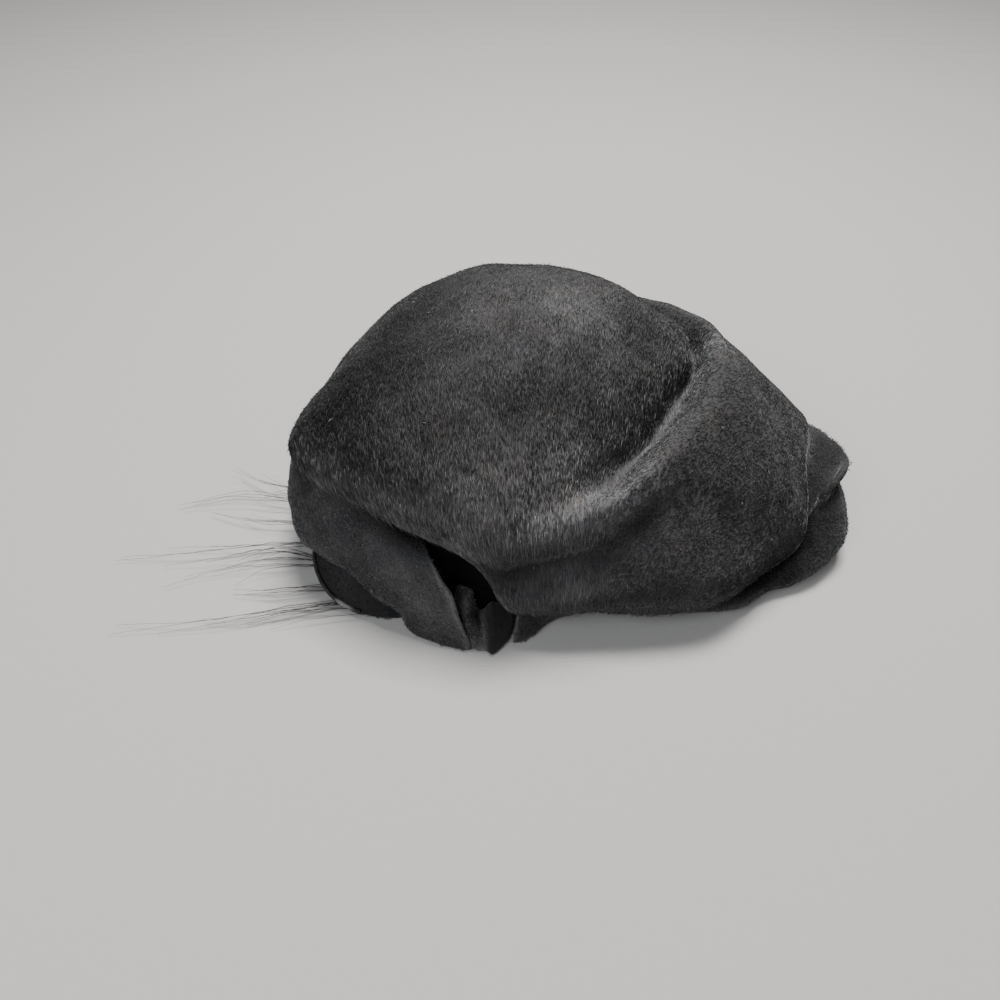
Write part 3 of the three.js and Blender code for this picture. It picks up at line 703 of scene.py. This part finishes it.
class HatSizes(bpy.types.PropertyGroup):
    """Sizes of the felt and of what lies on it."""

    felt: bpy.props.FloatProperty(
        name="Felt", description="Thickness of the felt wall", default=FELT * MM, unit="LENGTH")
    lumps: bpy.props.FloatProperty(
        name="Lumps", description="Height of the soft lumps of hand-draped felt",
        default=0.45 * MM, unit="LENGTH")
    nap_length: bpy.props.FloatProperty(
        name="Nap length", description="Length of the long hairs that lie on the felt",
        default=3.6 * MM, unit="LENGTH")
    nap_width: bpy.props.FloatProperty(
        name="Nap width", description="Width of a tuft of the nap", default=0.25 * MM, unit="LENGTH")
    nap_count: bpy.props.IntProperty(
        name="Nap tufts", description="How many tufts each third of the crown's nap has",
        default=40000, min=0)
    guard_count: bpy.props.IntProperty(
        name="Guard hairs", description="How many long pale hairs lie over the nap",
        default=5000, min=0)
    barbs: bpy.props.IntProperty(
        name="Barbs", description="How many barbs each lock of the spray has", default=6, min=1)
    lint: bpy.props.IntProperty(
        name="Lint", description="How many flecks of pale lint cling to the felt", default=90, min=0)


class HatColours(bpy.types.PropertyGroup):
    """Colours of the hat and of the studio."""

    felt: bpy.props.FloatVectorProperty(
        name="Felt", description="Felt between the hairs of the nap",
        subtype="COLOR", size=3, default=(0.016, 0.0157, 0.016))
    nap: bpy.props.FloatVectorProperty(
        name="Nap", description="Hairs of the nap that catch the light",
        subtype="COLOR", size=3, default=(0.085, 0.083, 0.083))
    # Worn felt, which along the ridge's crest is partly a painted highlight.
    worn: bpy.props.FloatVectorProperty(
        name="Worn felt", description="Felt along cut edges and rubbed folds",
        subtype="COLOR", size=3, default=(0.14, 0.134, 0.128))
    quill: bpy.props.FloatVectorProperty(
        name="Quill", description="Barbs of the spray",
        subtype="COLOR", size=3, default=(0.022, 0.020, 0.020))
    # The stripped end of the quill, whose pale colour is partly a painted highlight.
    bare_quill_highlight: bpy.props.FloatVectorProperty(
        name="Bare quill", description="Stripped end of the quill",
        subtype="COLOR", size=3, default=(0.34, 0.33, 0.32))
    lint: bpy.props.FloatVectorProperty(
        name="Lint", description="Flecks of lint", subtype="COLOR", size=3, default=(0.42, 0.42, 0.44))
    floor: bpy.props.FloatVectorProperty(
        name="Floor", description="Studio floor", subtype="COLOR", size=3, default=(0.60, 0.585, 0.565))


def sizes():
    return bpy.context.scene.hat_sizes


def colours():
    return bpy.context.scene.hat_colours


CROWN_AROUND = 360
CROWN_CROWDING = 0.32
CROWN_STEPS = 12

# How far the nap leans away from straight to the front, in degrees: at the head's centre, and its
# change with each millimetre to the right and to the back. The wing's nap leans on its own.
LEAN = (-6.0, -0.14, -0.08)
WING_LEAN = -40.0

# Where the long pale guard hairs are thickest, measured from the head's centre, and how far that goes.
GUARD_MIDDLE = (-60, -55, 68)
GUARD_REACH = 62

# Azimuths between which the crown's rim lies flush on the brim, at the left and, turned by half a turn,
# at the right, and those of the wing's free edge: where each starts and is full, wanes and ends.
FLUSH_LEFT = (172, 184, 206, 218)
FLUSH_RIGHT = (168, 176, 195, 212)
FLUSH_DEPTH = 1.8
FLUSH_THINNER = 1.3
WING_EDGE = (315, 328, 346, 353)
WING_THICKER = 1.0


def nap_heading(points):
    """Returns the azimuth to which the nap is brushed at each point."""
    return 270 + LEAN[0] + LEAN[1] * points[..., 0] + LEAN[2] * points[..., 1]


def crown_sheet():
    """The crown and its wing as one sheet, with the azimuth and the profile mark of each point."""
    turn = np.linspace(0, 2 * math.pi, CROWN_AROUND, endpoint=False)
    azimuths = np.degrees(turn + CROWN_CROWDING * np.cos(turn - 0.2))
    marks = np.linspace(0, SPANS - 1, CROWN_STEPS * (SPANS - 1) + 1)
    outer = dented(crown_points(azimuths, marks))
    normals = grid_normals(outer, True, True)
    lumps = ripple(outer, size=38.0, seed=5) + 0.25 * ripple(outer, size=15.0, seed=6)
    soft = smooth_step(0.8, 1.8, marks)
    outer += normals * (sizes().lumps / MM * lumps * soft)[..., None]
    azimuth, mark = np.meshgrid(azimuths % 360, marks, indexing="ij")
    flush = between(azimuth, *FLUSH_LEFT) + between((azimuth + 180) % 360, *FLUSH_RIGHT)
    flush *= 1 - smooth_step(0.0, 0.45, mark)
    outer -= normals * (FLUSH_DEPTH * flush)[..., None]
    wing_edge = between(azimuth, *WING_EDGE) * (1 - smooth_step(0.2, 1.2, mark))
    thickness = sizes().felt / MM - FLUSH_THINNER * flush + WING_THICKER * wing_edge
    return Felt(outer, thickness, closed=True, pole=True, inner_step=3), azimuth, mark


BRIM_AROUND = 330
BRIM_DOWN = 44
BRIM_RADIUS = 110
END_COLUMNS = 6
END_ROUNDNESS = 0.8


def brim_sheet():
    """The rolled brim as one sheet, with the azimuth and the height share of each point."""
    shares = np.linspace(1, 0, BRIM_DOWN + 1)
    ends = BRIM_END_HEM + (BRIM_END_TOP - BRIM_END_HEM) * (1 - shares) ** 2
    rounding = 0.5 * sizes().felt / MM / BRIM_RADIUS / math.radians(ends.mean() - BRIM_START)
    near = rounding * (1 - np.cos(np.linspace(0, math.pi / 2, END_COLUMNS)))
    middle = np.linspace(rounding, 1 - rounding, BRIM_AROUND)
    along = np.concatenate([near[:-1], middle, 1 - near[-2::-1]])
    azimuth = BRIM_START + along[:, None] * (ends[None] - BRIM_START)
    outer = brim_points(azimuth, shares)
    normals = grid_normals(outer, False)
    lumps = ripple(outer, size=26.0, seed=15) + 0.5 * ripple(outer, size=11.0, seed=16)
    low = smooth_step(0.2, 0.4, shares)
    outer += normals * (sizes().lumps / MM * lumps * low)[..., None]
    felt = sizes().felt / MM
    away = np.minimum(along, 1 - along) / rounding
    inset = felt / 2 * (1 - np.sqrt(1 - (1 - np.clip(away, 0, 1)) ** 2)) * END_ROUNDNESS
    return Felt(outer, felt, closed=False, inset=inset[:, None]), azimuth, shares


def wing_share(azimuth, mark):
    """Returns 1 on the wing and 0 on the dome."""
    round_side = smooth_step(268, 285, azimuth) + 1 - smooth_step(40, 100, azimuth)
    return round_side * (1 - smooth_step(4.2, 4.9, mark))


EDGE_WEAR = 0.08
# Wear along the ridge's crest, partly a painted highlight.
RIDGE_WEAR_AND_HIGHLIGHT = 0.1


def ridge_share(azimuth, mark):
    """Returns 1 on top of the rolled ridge, falling softly to 0 beside it."""
    round_side = smooth_step(275, 300, azimuth) + 1 - smooth_step(60, 100, azimuth)
    return np.exp(-((mark - 3.9) / 0.7) ** 2) * round_side


def felt_mesh(sheet, rub, pebble, shade=1.0):
    """Returns the sheet's mesh with the values that its material reads: where the nap lies, how far a
    wall turns, its wear, how pebbly it is and how pale its painted light and shade make it."""
    points = sheet.path.reshape(-1, 3)
    x, y, z = points.T
    lean, turn_x, turn_y = (math.radians(value) for value in LEAN)
    nap = np.stack([x + y * (lean + turn_x * x + turn_y * y / 2), -y, z], -1)
    flank = np.abs(sheet.over(sheet.normals)[:, 0])
    edge = np.broadcast_to((sheet.rows == 0) & (np.arange(len(sheet.rows)) > 0), sheet.path.shape[:2])
    grid = sheet.outer.shape[:2]
    rub, pebble, shade = (sheet.over(np.broadcast_to(value, grid)) for value in (rub, pebble, shade))
    rub = np.maximum(rub, edge.ravel() * EDGE_WEAR)
    # The strokes' painted light and shade, which partly stand for the lie of the nap, times the piece's
    # own painted shade.
    lie = brushed(points) * shade
    mesh = Mesh()
    mesh.add(points, sheet.faces(), nap=nap, flank=flank, rub=rub, pebble=pebble, lie=lie)
    return mesh


# Sizes of the streaks of the nap, of its grain and of the patches of its tone and tint.
STREAK_WIDTH = 0.75
STREAK_LENGTH = 7
GRAIN_SIZE = 0.9
PATCH_SIZE = 14
BROAD_SIZE = 30
TINT_SIZE = 16


def felt_material(name, lightness=1.0, sheen=0.35):
    """Velour: dark felt under hairs that catch the light, worn paler along its edges, with its colour
    scaled by the painted light and shade that the lie value holds.
    """
    f = Finish(name)
    nap = f.add("ShaderNodeAttribute", {"attribute_name": "nap"}).take("Vector")
    flank, rub, lie, pebble = (f.value(label) for label in ("flank", "rub", "lie", "pebble"))
    across, along = 1 / STREAK_WIDTH, 1 / STREAK_LENGTH
    plan = f.add("ShaderNodeVectorMath", {"operation": "MULTIPLY"}, nap, (across, along, along))
    wall = f.add("ShaderNodeVectorMath", {"operation": "MULTIPLY"}, nap, (along, along, across))
    plan, wall = (f.noise(place, 1.0, 2.0) for place in (plan, wall))
    smooth = {"interpolation_type": "SMOOTHSTEP"}
    turned = f.add("ShaderNodeMapRange", smooth, flank, 0.62, 0.88).number()
    streak = plan * (1 - turned) + wall * turned
    grain = f.noise(nap, 1 / GRAIN_SIZE, 3.0, 0.6)
    patch = f.noise(nap, 1 / PATCH_SIZE, 3.0)
    broad = f.noise(nap, 1 / BROAD_SIZE, 2.0)
    warm = f.noise(nap, 1 / TINT_SIZE, 1.0)
    tone = (streak - 0.5) * (1.2 - pebble * 1.1) + (grain - 0.5) * (0.25 + pebble * 0.95)
    tone = tone + (patch - 0.5) * 0.8 + (broad - 0.5) * 0.8
    tone = f.add("ShaderNodeMapRange", None, tone + 0.42, 0.0, 1.0).number()
    felt, hair, worn = (tuple(lightness * c for c in value)
                        for value in (colours().felt, colours().nap, colours().worn))
    colour = f.mix(tone, felt, hair)
    tint = f.mix(warm, (0.88, 0.97, 1.12), (1.12, 1.0, 0.88))
    colour = f.mix(1.0, colour, tint, "MULTIPLY")
    # Wear mixes in the worn felt; along the ridge's crest it is partly a painted highlight.
    wear = rub * (0.55 + grain * 0.9)
    colour = f.mix(f.clamped(wear), colour, worn)
    # Painted light and shade: the lie value scales the felt's colour.
    colour = f.add("ShaderNodeVectorMath", {"operation": "SCALE"}, colour, Scale=lie)
    height = streak * (0.8 - pebble * 0.6) + grain * (pebble * 0.3 + 0.15)
    bump = f.add("ShaderNodeBump", None, Strength=0.55, Distance=0.0004, Height=height)
    shader = f.add(
        "ShaderNodeBsdfPrincipled", None, Base_Color=colour, Roughness=0.85 + grain * 0.12, Normal=bump,
        Sheen_Weight=sheen, Sheen_Roughness=0.45, Sheen_Tint=(0.92, 0.92, 0.95, 1.0),
        Specular_IOR_Level=0.18)
    return f.finish(shader)


def hair_material(name, dark, light, roughness=0.6, sheen=0.2, lies=False):
    """Hairs whose tone is set hair by hair, with a slight change along their length; with lies, the
    painted light and shade of the lie value scales their colour.
    """
    f = Finish(name)
    tone = f.value("tone")
    noise = f.noise(f.add("ShaderNodeTexCoord").take("Object"), 900.0, 1.0)
    colour = f.mix(f.clamped(tone + (noise - 0.5) * 0.5), dark, light)
    # Painted light and shade on the hairs.
    if lies:
        colour = f.add("ShaderNodeVectorMath", {"operation": "SCALE"}, colour, Scale=f.value("lie"))
    shader = f.add(
        "ShaderNodeBsdfPrincipled", None, Base_Color=colour, Roughness=roughness + noise * 0.2,
        Sheen_Weight=sheen, Sheen_Roughness=0.4, Specular_IOR_Level=0.25)
    return f.finish(shader)


class HAT_OT_crown(bpy.types.Operator):
    """Makes the domed crown and the wing that sweeps round its right side"""

    bl_idname = "felt_hat.crown"
    bl_label = "Crown and Wing"

    def execute(self, context):
        sheet, azimuth, mark = crown_sheet()
        # The rub along the ridge's crest is wear and partly a painted highlight.
        mesh = felt_mesh(sheet, RIDGE_WEAR_AND_HIGHLIGHT * ridge_share(azimuth, mark), wing_share(azimuth, mark))
        piece = mesh.make("crown_felt", felt_material("brushed_crown_felt"))
        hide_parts("crown")
        return {"FINISHED"}


class HAT_OT_brim(bpy.types.Operator):
    """Makes the rolled brim below the crown, from its turned-out end to its cut end"""

    bl_idname = "felt_hat.brim"
    bl_label = "Rolled Brim"

    def execute(self, context):
        sheet, azimuth, _ = brim_sheet()
        front, cut = azimuth - azimuth[:1], azimuth - azimuth[-1:]
        ends = np.exp(-(front / 0.7) ** 2) + np.exp(-(cut / 1.3) ** 2)
        mesh = felt_mesh(sheet, rub=ends, pebble=0.8)
        piece = mesh.make("brim_felt", felt_material("fuzzy_brim_felt"))
        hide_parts("rolled_brim")
        return {"FINISHED"}


BAND_AROUND = 240
BAND_UP = 56
# Painted shade on the band: a little over all of it, and deep inside the front slit under the crown's
# lip.
BAND_SHADE = 0.9
SLIT_SHADE = 0.86
SLIT = (230, 236, 266, 275)


def band_sheet():
    """The band as one sheet, with how pale its painted shade leaves it at each point: hardly at all
    inside the front slit.
    """
    azimuths = np.linspace(0, 360, BAND_AROUND, endpoint=False)
    s = BAND.at(azimuths)
    foot, waist, top = s["footR"], s["waistR"], s["topR"]
    line = [(foot - BAND_HEM, 0.0), (foot - BAND_HEM / 2, 0.0), (foot - 1.2, 0.25), (foot - 0.1, 2.0),
            (foot * 0.7 + waist * 0.3, 7.0), (waist, BAND_WAIST), (waist * 0.4 + top * 0.6, 27.0),
            (top, BAND_HEIGHT)]
    line = np.stack([np.stack(np.broadcast_arrays(r, z), -1) for r, z in line], axis=1)
    flat = spline(line, np.linspace(0, 1, BAND_UP + 1))
    outer = around(azimuths[:, None], flat[..., 0], np.maximum(flat[..., 1], 0))
    shade = BAND_SHADE - SLIT_SHADE * between(azimuths, *SLIT)
    return Felt(outer, sizes().felt / MM, closed=True), np.broadcast_to(shade[:, None], outer.shape[:2])


class HAT_OT_band(bpy.types.Operator):
    """Makes the band inside that fits the head, with its hem turned in on the surface"""

    bl_idname = "felt_hat.band"
    bl_label = "Head Band"

    def execute(self, context):
        sheet, shade = band_sheet()
        mesh = felt_mesh(sheet, rub=0.0, pebble=0.9, shade=shade)
        piece = mesh.make("band_felt", felt_material("plain_band_felt", 0.7, sheen=0.1))
        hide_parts("head_band")
        return {"FINISHED"}


TUCK_ACROSS = 60
TUCK_DOWN = 48

# Painted light and shade on the tuck: how much paler its left lobe is painted low and high, how dark
# its right lobe is painted, and the painted shade in the groove between them.
LOBE_LOW = 7.0
LOBE_HIGH = 2.6
LOBE_RIGHT = 0.5
GROOVE_SHADE = 0.85


def tuck_sheet():
    """The folded tongue of felt in the front slit, with how pale its painted light and shade make it at
    each point.
    """
    rows = np.array(TUCK_ROWS, float)
    shares = np.linspace(1, 0, TUCK_DOWN + 1)
    line = np.stack([rows, np.broadcast_to(np.arange(len(rows))[:, None] * 1.0, rows.shape)], -1)
    at = {name: spline(line[:, k], shares)[:, 0] for k, name in enumerate(TUCK_COLUMNS)}
    across = np.linspace(0, 1, TUCK_ACROSS + 1)[:, None]
    side = 2 * across - 1
    edge = np.where(side < 0, at["leftR"], at["rightR"])
    dip = at["dip"] * np.maximum(0, np.cos(math.pi * side))
    pleat = at["pleat"] * 0.5 * (1 - np.cos(2 * math.pi * side))
    radius = at["middleR"] + (edge - at["middleR"]) * side ** 2 + pleat + dip / 2
    azimuth = at["leftAt"] + (at["rightAt"] - at["leftAt"]) * across
    height = at["leftZ"] + (at["rightZ"] - at["leftZ"]) * across - dip
    # Painted light on the left lobe, painted shade on the right lobe and in the groove.
    shade = LOBE_LOW - (LOBE_LOW - LOBE_HIGH) * smooth_step(0.5, 0.9, shares)
    shade = LOBE_RIGHT + (shade - LOBE_RIGHT) * (1 - smooth_step(-0.15, 0.4, side))
    groove = np.exp(-(side / 0.2) ** 2) * (1 - smooth_step(0.3, 0.7, shares))
    shade = shade * (1 - GROOVE_SHADE * groove)
    return Felt(around(azimuth, radius, height), sizes().felt / MM, closed=False), shade


class HAT_OT_tuck(bpy.types.Operator):
    """Makes the folded tuck that closes the slit at the front"""

    bl_idname = "felt_hat.tuck"
    bl_label = "Front Tuck"

    def execute(self, context):
        sheet, shade = tuck_sheet()
        mesh = felt_mesh(sheet, rub=0.0, pebble=0.9, shade=shade)
        piece = mesh.make("tuck_felt", felt_material("folded_tuck_felt", 0.85))
        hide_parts("front_tuck")
        return {"FINISHED"}


BAND_NAP_COUNT = 9000
TUCK_NAP_COUNT = 2500
BRIM_NAP_SHARE = 0.75


def nap_ways(normals, heading):
    """Ways in which the nap lies: brushed to a heading, up the walls behind and down those in front."""
    turn = np.radians(heading)
    way = np.stack([np.cos(turn), np.sin(turn), np.zeros_like(turn)], -1)
    facing = np.sum(way * normals, axis=-1, keepdims=True)
    return way - np.array([0, 0, 1.2]) * facing


def clump_values(draw, roots, middle=0.4, follow=0.6):
    """The tone of each hair, alike within a clump, and how far it follows the strokes' painted light
    and shade, which partly stand for the lie of the nap.
    """
    tone = middle + 0.16 * ripple(roots, 10.0, 21) + 0.12 * ripple(roots, 28.0, 22)
    tone = tone + draw.normal(0, 0.28, len(roots))
    return {"tone": np.repeat(tone, 4), "lie": np.repeat(brushed(roots) ** follow, 4)}


def hair_mesh(draw, roots, normals, ways, shape, shade=1.0, **clumps):
    """Returns the mesh of the hairs at the roots, shape being their length, width and lift, and shade
    the painted light and shade of their piece, which scales their lie value.
    """
    points, faces = fibres(draw, roots, normals, ways, *shape)
    values = clump_values(draw, roots, **clumps)
    values["lie"] = values["lie"] * np.repeat(np.broadcast_to(shade, len(roots)), 4)
    mesh = Mesh()
    mesh.add(points, faces, **values)
    return mesh


class HAT_OT_nap(bpy.types.Operator):
    """Makes the long hairs that lie on the felt"""

    bl_idname = "felt_hat.nap"
    bl_label = "Nap"

    def execute(self, context):
        nap = tuple(colours().nap)
        material = hair_material("nap_hair", tuple(colours().felt), nap, lies=True)
        length, width = sizes().nap_length / MM, sizes().nap_width / MM
        sheet, *place = crown_sheet()
        wing = wing_share(*place)
        self.crown(sheet, wing, material, length, width)
        pale = hair_material("guard_hair", nap, tuple(1.9 * v for v in nap), lies=True)
        self.guard(sheet, 1 - wing, pale, length * 2, width * 0.7)
        draw = np.random.default_rng(50)
        sheet, azimuth, shares = brim_sheet()
        shown = np.broadcast_to(smooth_step(0.2, 0.3, shares), azimuth.shape)
        roots, normals = sheet.scatter(draw, int(sizes().nap_count * BRIM_NAP_SHARE), shown)[:2]
        ways = nap_ways(normals, draw.uniform(0, 360, len(roots)))
        shape = (length * 0.6, width * 0.9, 0.5)
        mesh = hair_mesh(draw, roots, normals, ways, shape, middle=0.5, follow=1.0)
        fuzz = hair_material("brim_hair", *(tuple(k * v for v in nap) for k in (0.4, 1.7)), lies=True)
        mesh.make("brim_nap", fuzz)
        for name, slot, (sheet, shade), count in (
                ("band_nap", "inner_felt", band_sheet(), BAND_NAP_COUNT),
                ("tuck_nap", "black_felt", tuck_sheet(), TUCK_NAP_COUNT)):
            # The band's and the tuck's painted light and shade set how thick their hairs lie and how
            # pale they are.
            roots, normals, column, row = sheet.scatter(draw, count, shade ** 2)
            ways = nap_ways(normals, draw.uniform(0, 360, len(roots)))
            shape = (length * 0.5, width * 0.9, 0.6)
            mesh = hair_mesh(draw, roots, normals, ways, shape, shade[column, row] * 0.8)
            mesh.make(name, material)
        return {"FINISHED"}

    def crown(self, sheet, wing, material, length, width):
        for part in range(3):
            draw = np.random.default_rng(40 + part)
            roots, normals, column, row = sheet.scatter(draw, sizes().nap_count)
            on_wing = wing[column, row]
            heading = nap_heading(roots) * (1 - on_wing) + (270 + WING_LEAN) * on_wing
            ways = nap_ways(normals, heading + draw.normal(0, 7 + 18 * on_wing))
            mesh = hair_mesh(draw, roots, normals, ways, (length * (1 - 0.4 * on_wing), width, 0.32))
            mesh.make(f"crown_nap_{part + 1}", material)

    def guard(self, sheet, dome, material, length, width):
        draw = np.random.default_rng(49)
        away = np.linalg.norm(sheet.outer - np.array(GUARD_MIDDLE), axis=-1)
        left = 0.3 + np.exp(-(away / GUARD_REACH) ** 2)
        roots, normals = sheet.scatter(draw, sizes().guard_count, left * dome)[:2]
        ways = nap_ways(normals, nap_heading(roots) + draw.normal(0, 9, len(roots)))
        mesh = hair_mesh(draw, roots, normals, ways, (length, width, 0.7))
        mesh.make("guard_hairs", material)


# The quill's thin end and thick end, and where along it the barbs are stripped off, a stretch painted
# pale that is partly a painted highlight of its shine.
QUILL_RADII = (0.6, 1.2)
QUILL_BARE_HIGHLIGHT = (0.84, 0.87, 0.92, 0.95)
QUILL_STEPS = 30
QUILL_SIDES = 8

# A barb's radius at its root and its tip, how high it waves and how low it may lie.
BARB_ROOT = 0.19
BARB_TIP = 0.06
BARB_WAVE = 0.25
BARB_LOWEST = 0.35
BARB_STEPS = 15


def on_quill(azimuth):
    """Returns the quill's point at the azimuth, beside the band's foot."""
    return around(azimuth, BAND.at(azimuth)["footR"] + QUILL_OFF_BAND, QUILL_HEIGHT)


class HAT_OT_spray(bpy.types.Operator):
    """Makes the spray of fine barbs on its quill, under the brim's left side"""

    bl_idname = "felt_hat.spray"
    bl_label = "Spray of Barbs"

    def execute(self, context):
        draw = np.random.default_rng(71)
        mesh = Mesh()
        spine = on_quill(np.linspace(QUILL_FROM, QUILL_TO, QUILL_STEPS))
        points, faces = strand(spine, np.linspace(*QUILL_RADII, QUILL_STEPS), QUILL_SIDES)
        # The stripped stretch is painted pale, partly as a painted highlight.
        tone = 0.08 + 0.9 * between(np.linspace(0, 1, QUILL_STEPS), *QUILL_BARE_HIGHLIGHT)
        mesh.add(points, faces, tone=tone.repeat(QUILL_SIDES))
        shares = np.linspace(0, 1, BARB_STEPS)
        for lock in named_rows(LOCK_COLUMNS, LOCK_ROWS):
            length = lock["length"]
            for barb in range(sizes().barbs):
                spread = 0.0 if barb == 0 else draw.normal(0, 3.2)
                long = length * (1.0 if barb == 0 else draw.uniform(0.45, 1.0))
                root = on_quill(lock["rootAt"] + (0 if barb == 0 else draw.normal(0, 1.2)))
                turn = math.radians(lock["heading"] + spread)
                way = np.array([math.cos(turn), math.sin(turn), 0])
                side = np.array([-way[1], way[0], 0])
                sway = lock["bend"] * draw.uniform(0.4, 1.3)
                lift = lock["rise"] * draw.uniform(0.6, 1.2)
                stops = np.stack([
                    root,
                    root + way * long * 0.3 + side * sway * 0.6 + [0, 0, lift * 0.8],
                    root + way * long * 0.65 + side * sway + [0, 0, lift * 0.6],
                    root + way * long + [0, 0, lock["tip"] - root[2]],
                ])
                path = spline(stops, shares)
                path[:, 2] += BARB_WAVE * ripple(path, size=9.0, seed=80 + barb)
                path[:, 2] = np.maximum(path[:, 2], BARB_LOWEST)
                points, faces = strand(path, BARB_ROOT + (BARB_TIP - BARB_ROOT) * shares, 4)
                mesh.add(points, faces, tone=np.full(len(points), draw.uniform(0, 0.25)))
        c = colours()
        material = hair_material(
            "quill_barbs", tuple(c.quill), tuple(c.bare_quill_highlight), roughness=0.4, sheen=0.0)
        piece = mesh.make("spray_barbs", material)
        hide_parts("quill_spray")
        return {"FINISHED"}


class HAT_OT_lint(bpy.types.Operator):
    """Makes the flecks of pale lint that cling to the felt"""

    bl_idname = "felt_hat.lint"
    bl_label = "Lint"

    def execute(self, context):
        draw = np.random.default_rng(90)
        sheet = crown_sheet()[0]
        roots, normals = sheet.scatter(draw, sizes().lint)[:2]
        ways = nap_ways(normals, draw.uniform(0, 360, len(roots)))
        points, faces = fibres(
            draw, roots + normals * 0.25, normals, ways, length=1.8, width=0.3, lift=0.3)
        mesh = Mesh()
        mesh.add(points, faces, tone=np.repeat(draw.uniform(0, 1, len(roots)), 4))
        pale = tuple(colours().lint)
        material = hair_material("pale_lint", tuple(0.3 * v for v in pale), pale, roughness=0.8)
        mesh.make("lint", material)
        return {"FINISHED"}


# The camera and the studio, in metres, degrees and millimetres of lens.
CAMERA_PLACE = (0.0082, -0.2813, 0.290)
CAMERA_TILT = 43.4
CAMERA_LENS = 27.04
FLOOR_HALF = 4.0
LAMP_TARGET = (0, 0, 0.05)


class HAT_OT_stage(bpy.types.Operator):
    """Makes the studio: a pale floor, soft lights and the camera"""

    bl_idname = "felt_hat.stage"
    bl_label = "Studio"

    def execute(self, context):
        f = Finish("pale_floor")
        place = f.add("ShaderNodeTexCoord").take("Object")
        noise = f.noise(place, 260.0, 3.0)
        pale = tuple(colours().floor)
        colour = f.mix(noise, tuple(0.94 * v for v in pale), pale)
        shader = f.add("ShaderNodeBsdfPrincipled", None, Base_Color=colour, Roughness=0.9)
        mesh = bpy.data.meshes.new("floor")
        corners = [(x * FLOOR_HALF, y * FLOOR_HALF, 0) for x, y in ((-1, -1), (1, -1), (1, 1), (-1, 1))]
        mesh.from_pydata(corners, [], [(0, 1, 2, 3)])
        mesh.materials.append(f.finish(shader))
        floor = bpy.data.objects.new("floor", mesh)
        context.scene.collection.objects.link(floor)
        self.light("key", place=(0.15, 0.40, 1.35), size=0.45, power=28.0, colour=(1.0, 0.99, 0.97))
        self.light("fill", place=(-0.6, -0.8, 1.0), size=0.8, power=8.0, colour=(0.91, 0.95, 1.0))
        world = bpy.data.worlds.new("studio")
        world.use_nodes = True
        background = world.node_tree.nodes["Background"]
        background.inputs["Color"].default_value = (0.90, 0.90, 0.92, 1)
        background.inputs["Strength"].default_value = 0.13
        context.scene.world = world
        camera = bpy.data.cameras.new("camera")
        camera.lens = CAMERA_LENS
        camera.clip_start = 0.01
        eye = bpy.data.objects.new("camera", camera)
        eye.location = CAMERA_PLACE
        eye.rotation_euler = (math.radians(CAMERA_TILT), 0, 0)
        context.scene.collection.objects.link(eye)
        context.scene.camera = eye
        return {"FINISHED"}

    def light(self, name, place, size, power, colour):
        """Makes a square lamp that faces the hat."""
        lamp = bpy.data.lights.new(name, "AREA")
        lamp.size, lamp.energy, lamp.color = size, power, colour
        piece = bpy.data.objects.new(name, lamp)
        piece.location = place
        aim = mathutils.Vector(LAMP_TARGET) - piece.location
        piece.rotation_euler = aim.to_track_quat("-Z", "Y").to_euler()
        bpy.context.scene.collection.objects.link(piece)


OPERATORS = (HAT_OT_stage, HAT_OT_crown, HAT_OT_brim, HAT_OT_band, HAT_OT_tuck, HAT_OT_nap,
             HAT_OT_spray, HAT_OT_lint)


class HAT_PT_panel(bpy.types.Panel):
    """Lists the hat's pieces, sizes and colours"""

    bl_idname = "HAT_PT_panel"
    bl_label = "Draped Felt Hat"
    bl_space_type = "VIEW_3D"
    bl_region_type = "UI"
    bl_category = "Felt Hat"

    def draw(self, context):
        for operator in OPERATORS:
            self.layout.operator(operator.bl_idname)
        for group in (context.scene.hat_sizes, context.scene.hat_colours):
            box = self.layout.box()
            for name in group.__annotations__:
                box.prop(group, name)


CLASSES = (HatSizes, HatColours, *OPERATORS, HAT_PT_panel)


def register():
    for kind in CLASSES:
        bpy.utils.register_class(kind)
    bpy.types.Scene.hat_sizes = bpy.props.PointerProperty(type=HatSizes)
    bpy.types.Scene.hat_colours = bpy.props.PointerProperty(type=HatColours)


def unregister():
    del bpy.types.Scene.hat_colours
    del bpy.types.Scene.hat_sizes
    for kind in reversed(CLASSES):
        bpy.utils.unregister_class(kind)


def main():
    register()
    for operator in OPERATORS:
        group, name = operator.bl_idname.split(".")
        getattr(getattr(bpy.ops, group), name)()


if __name__ == "__main__":
    main()
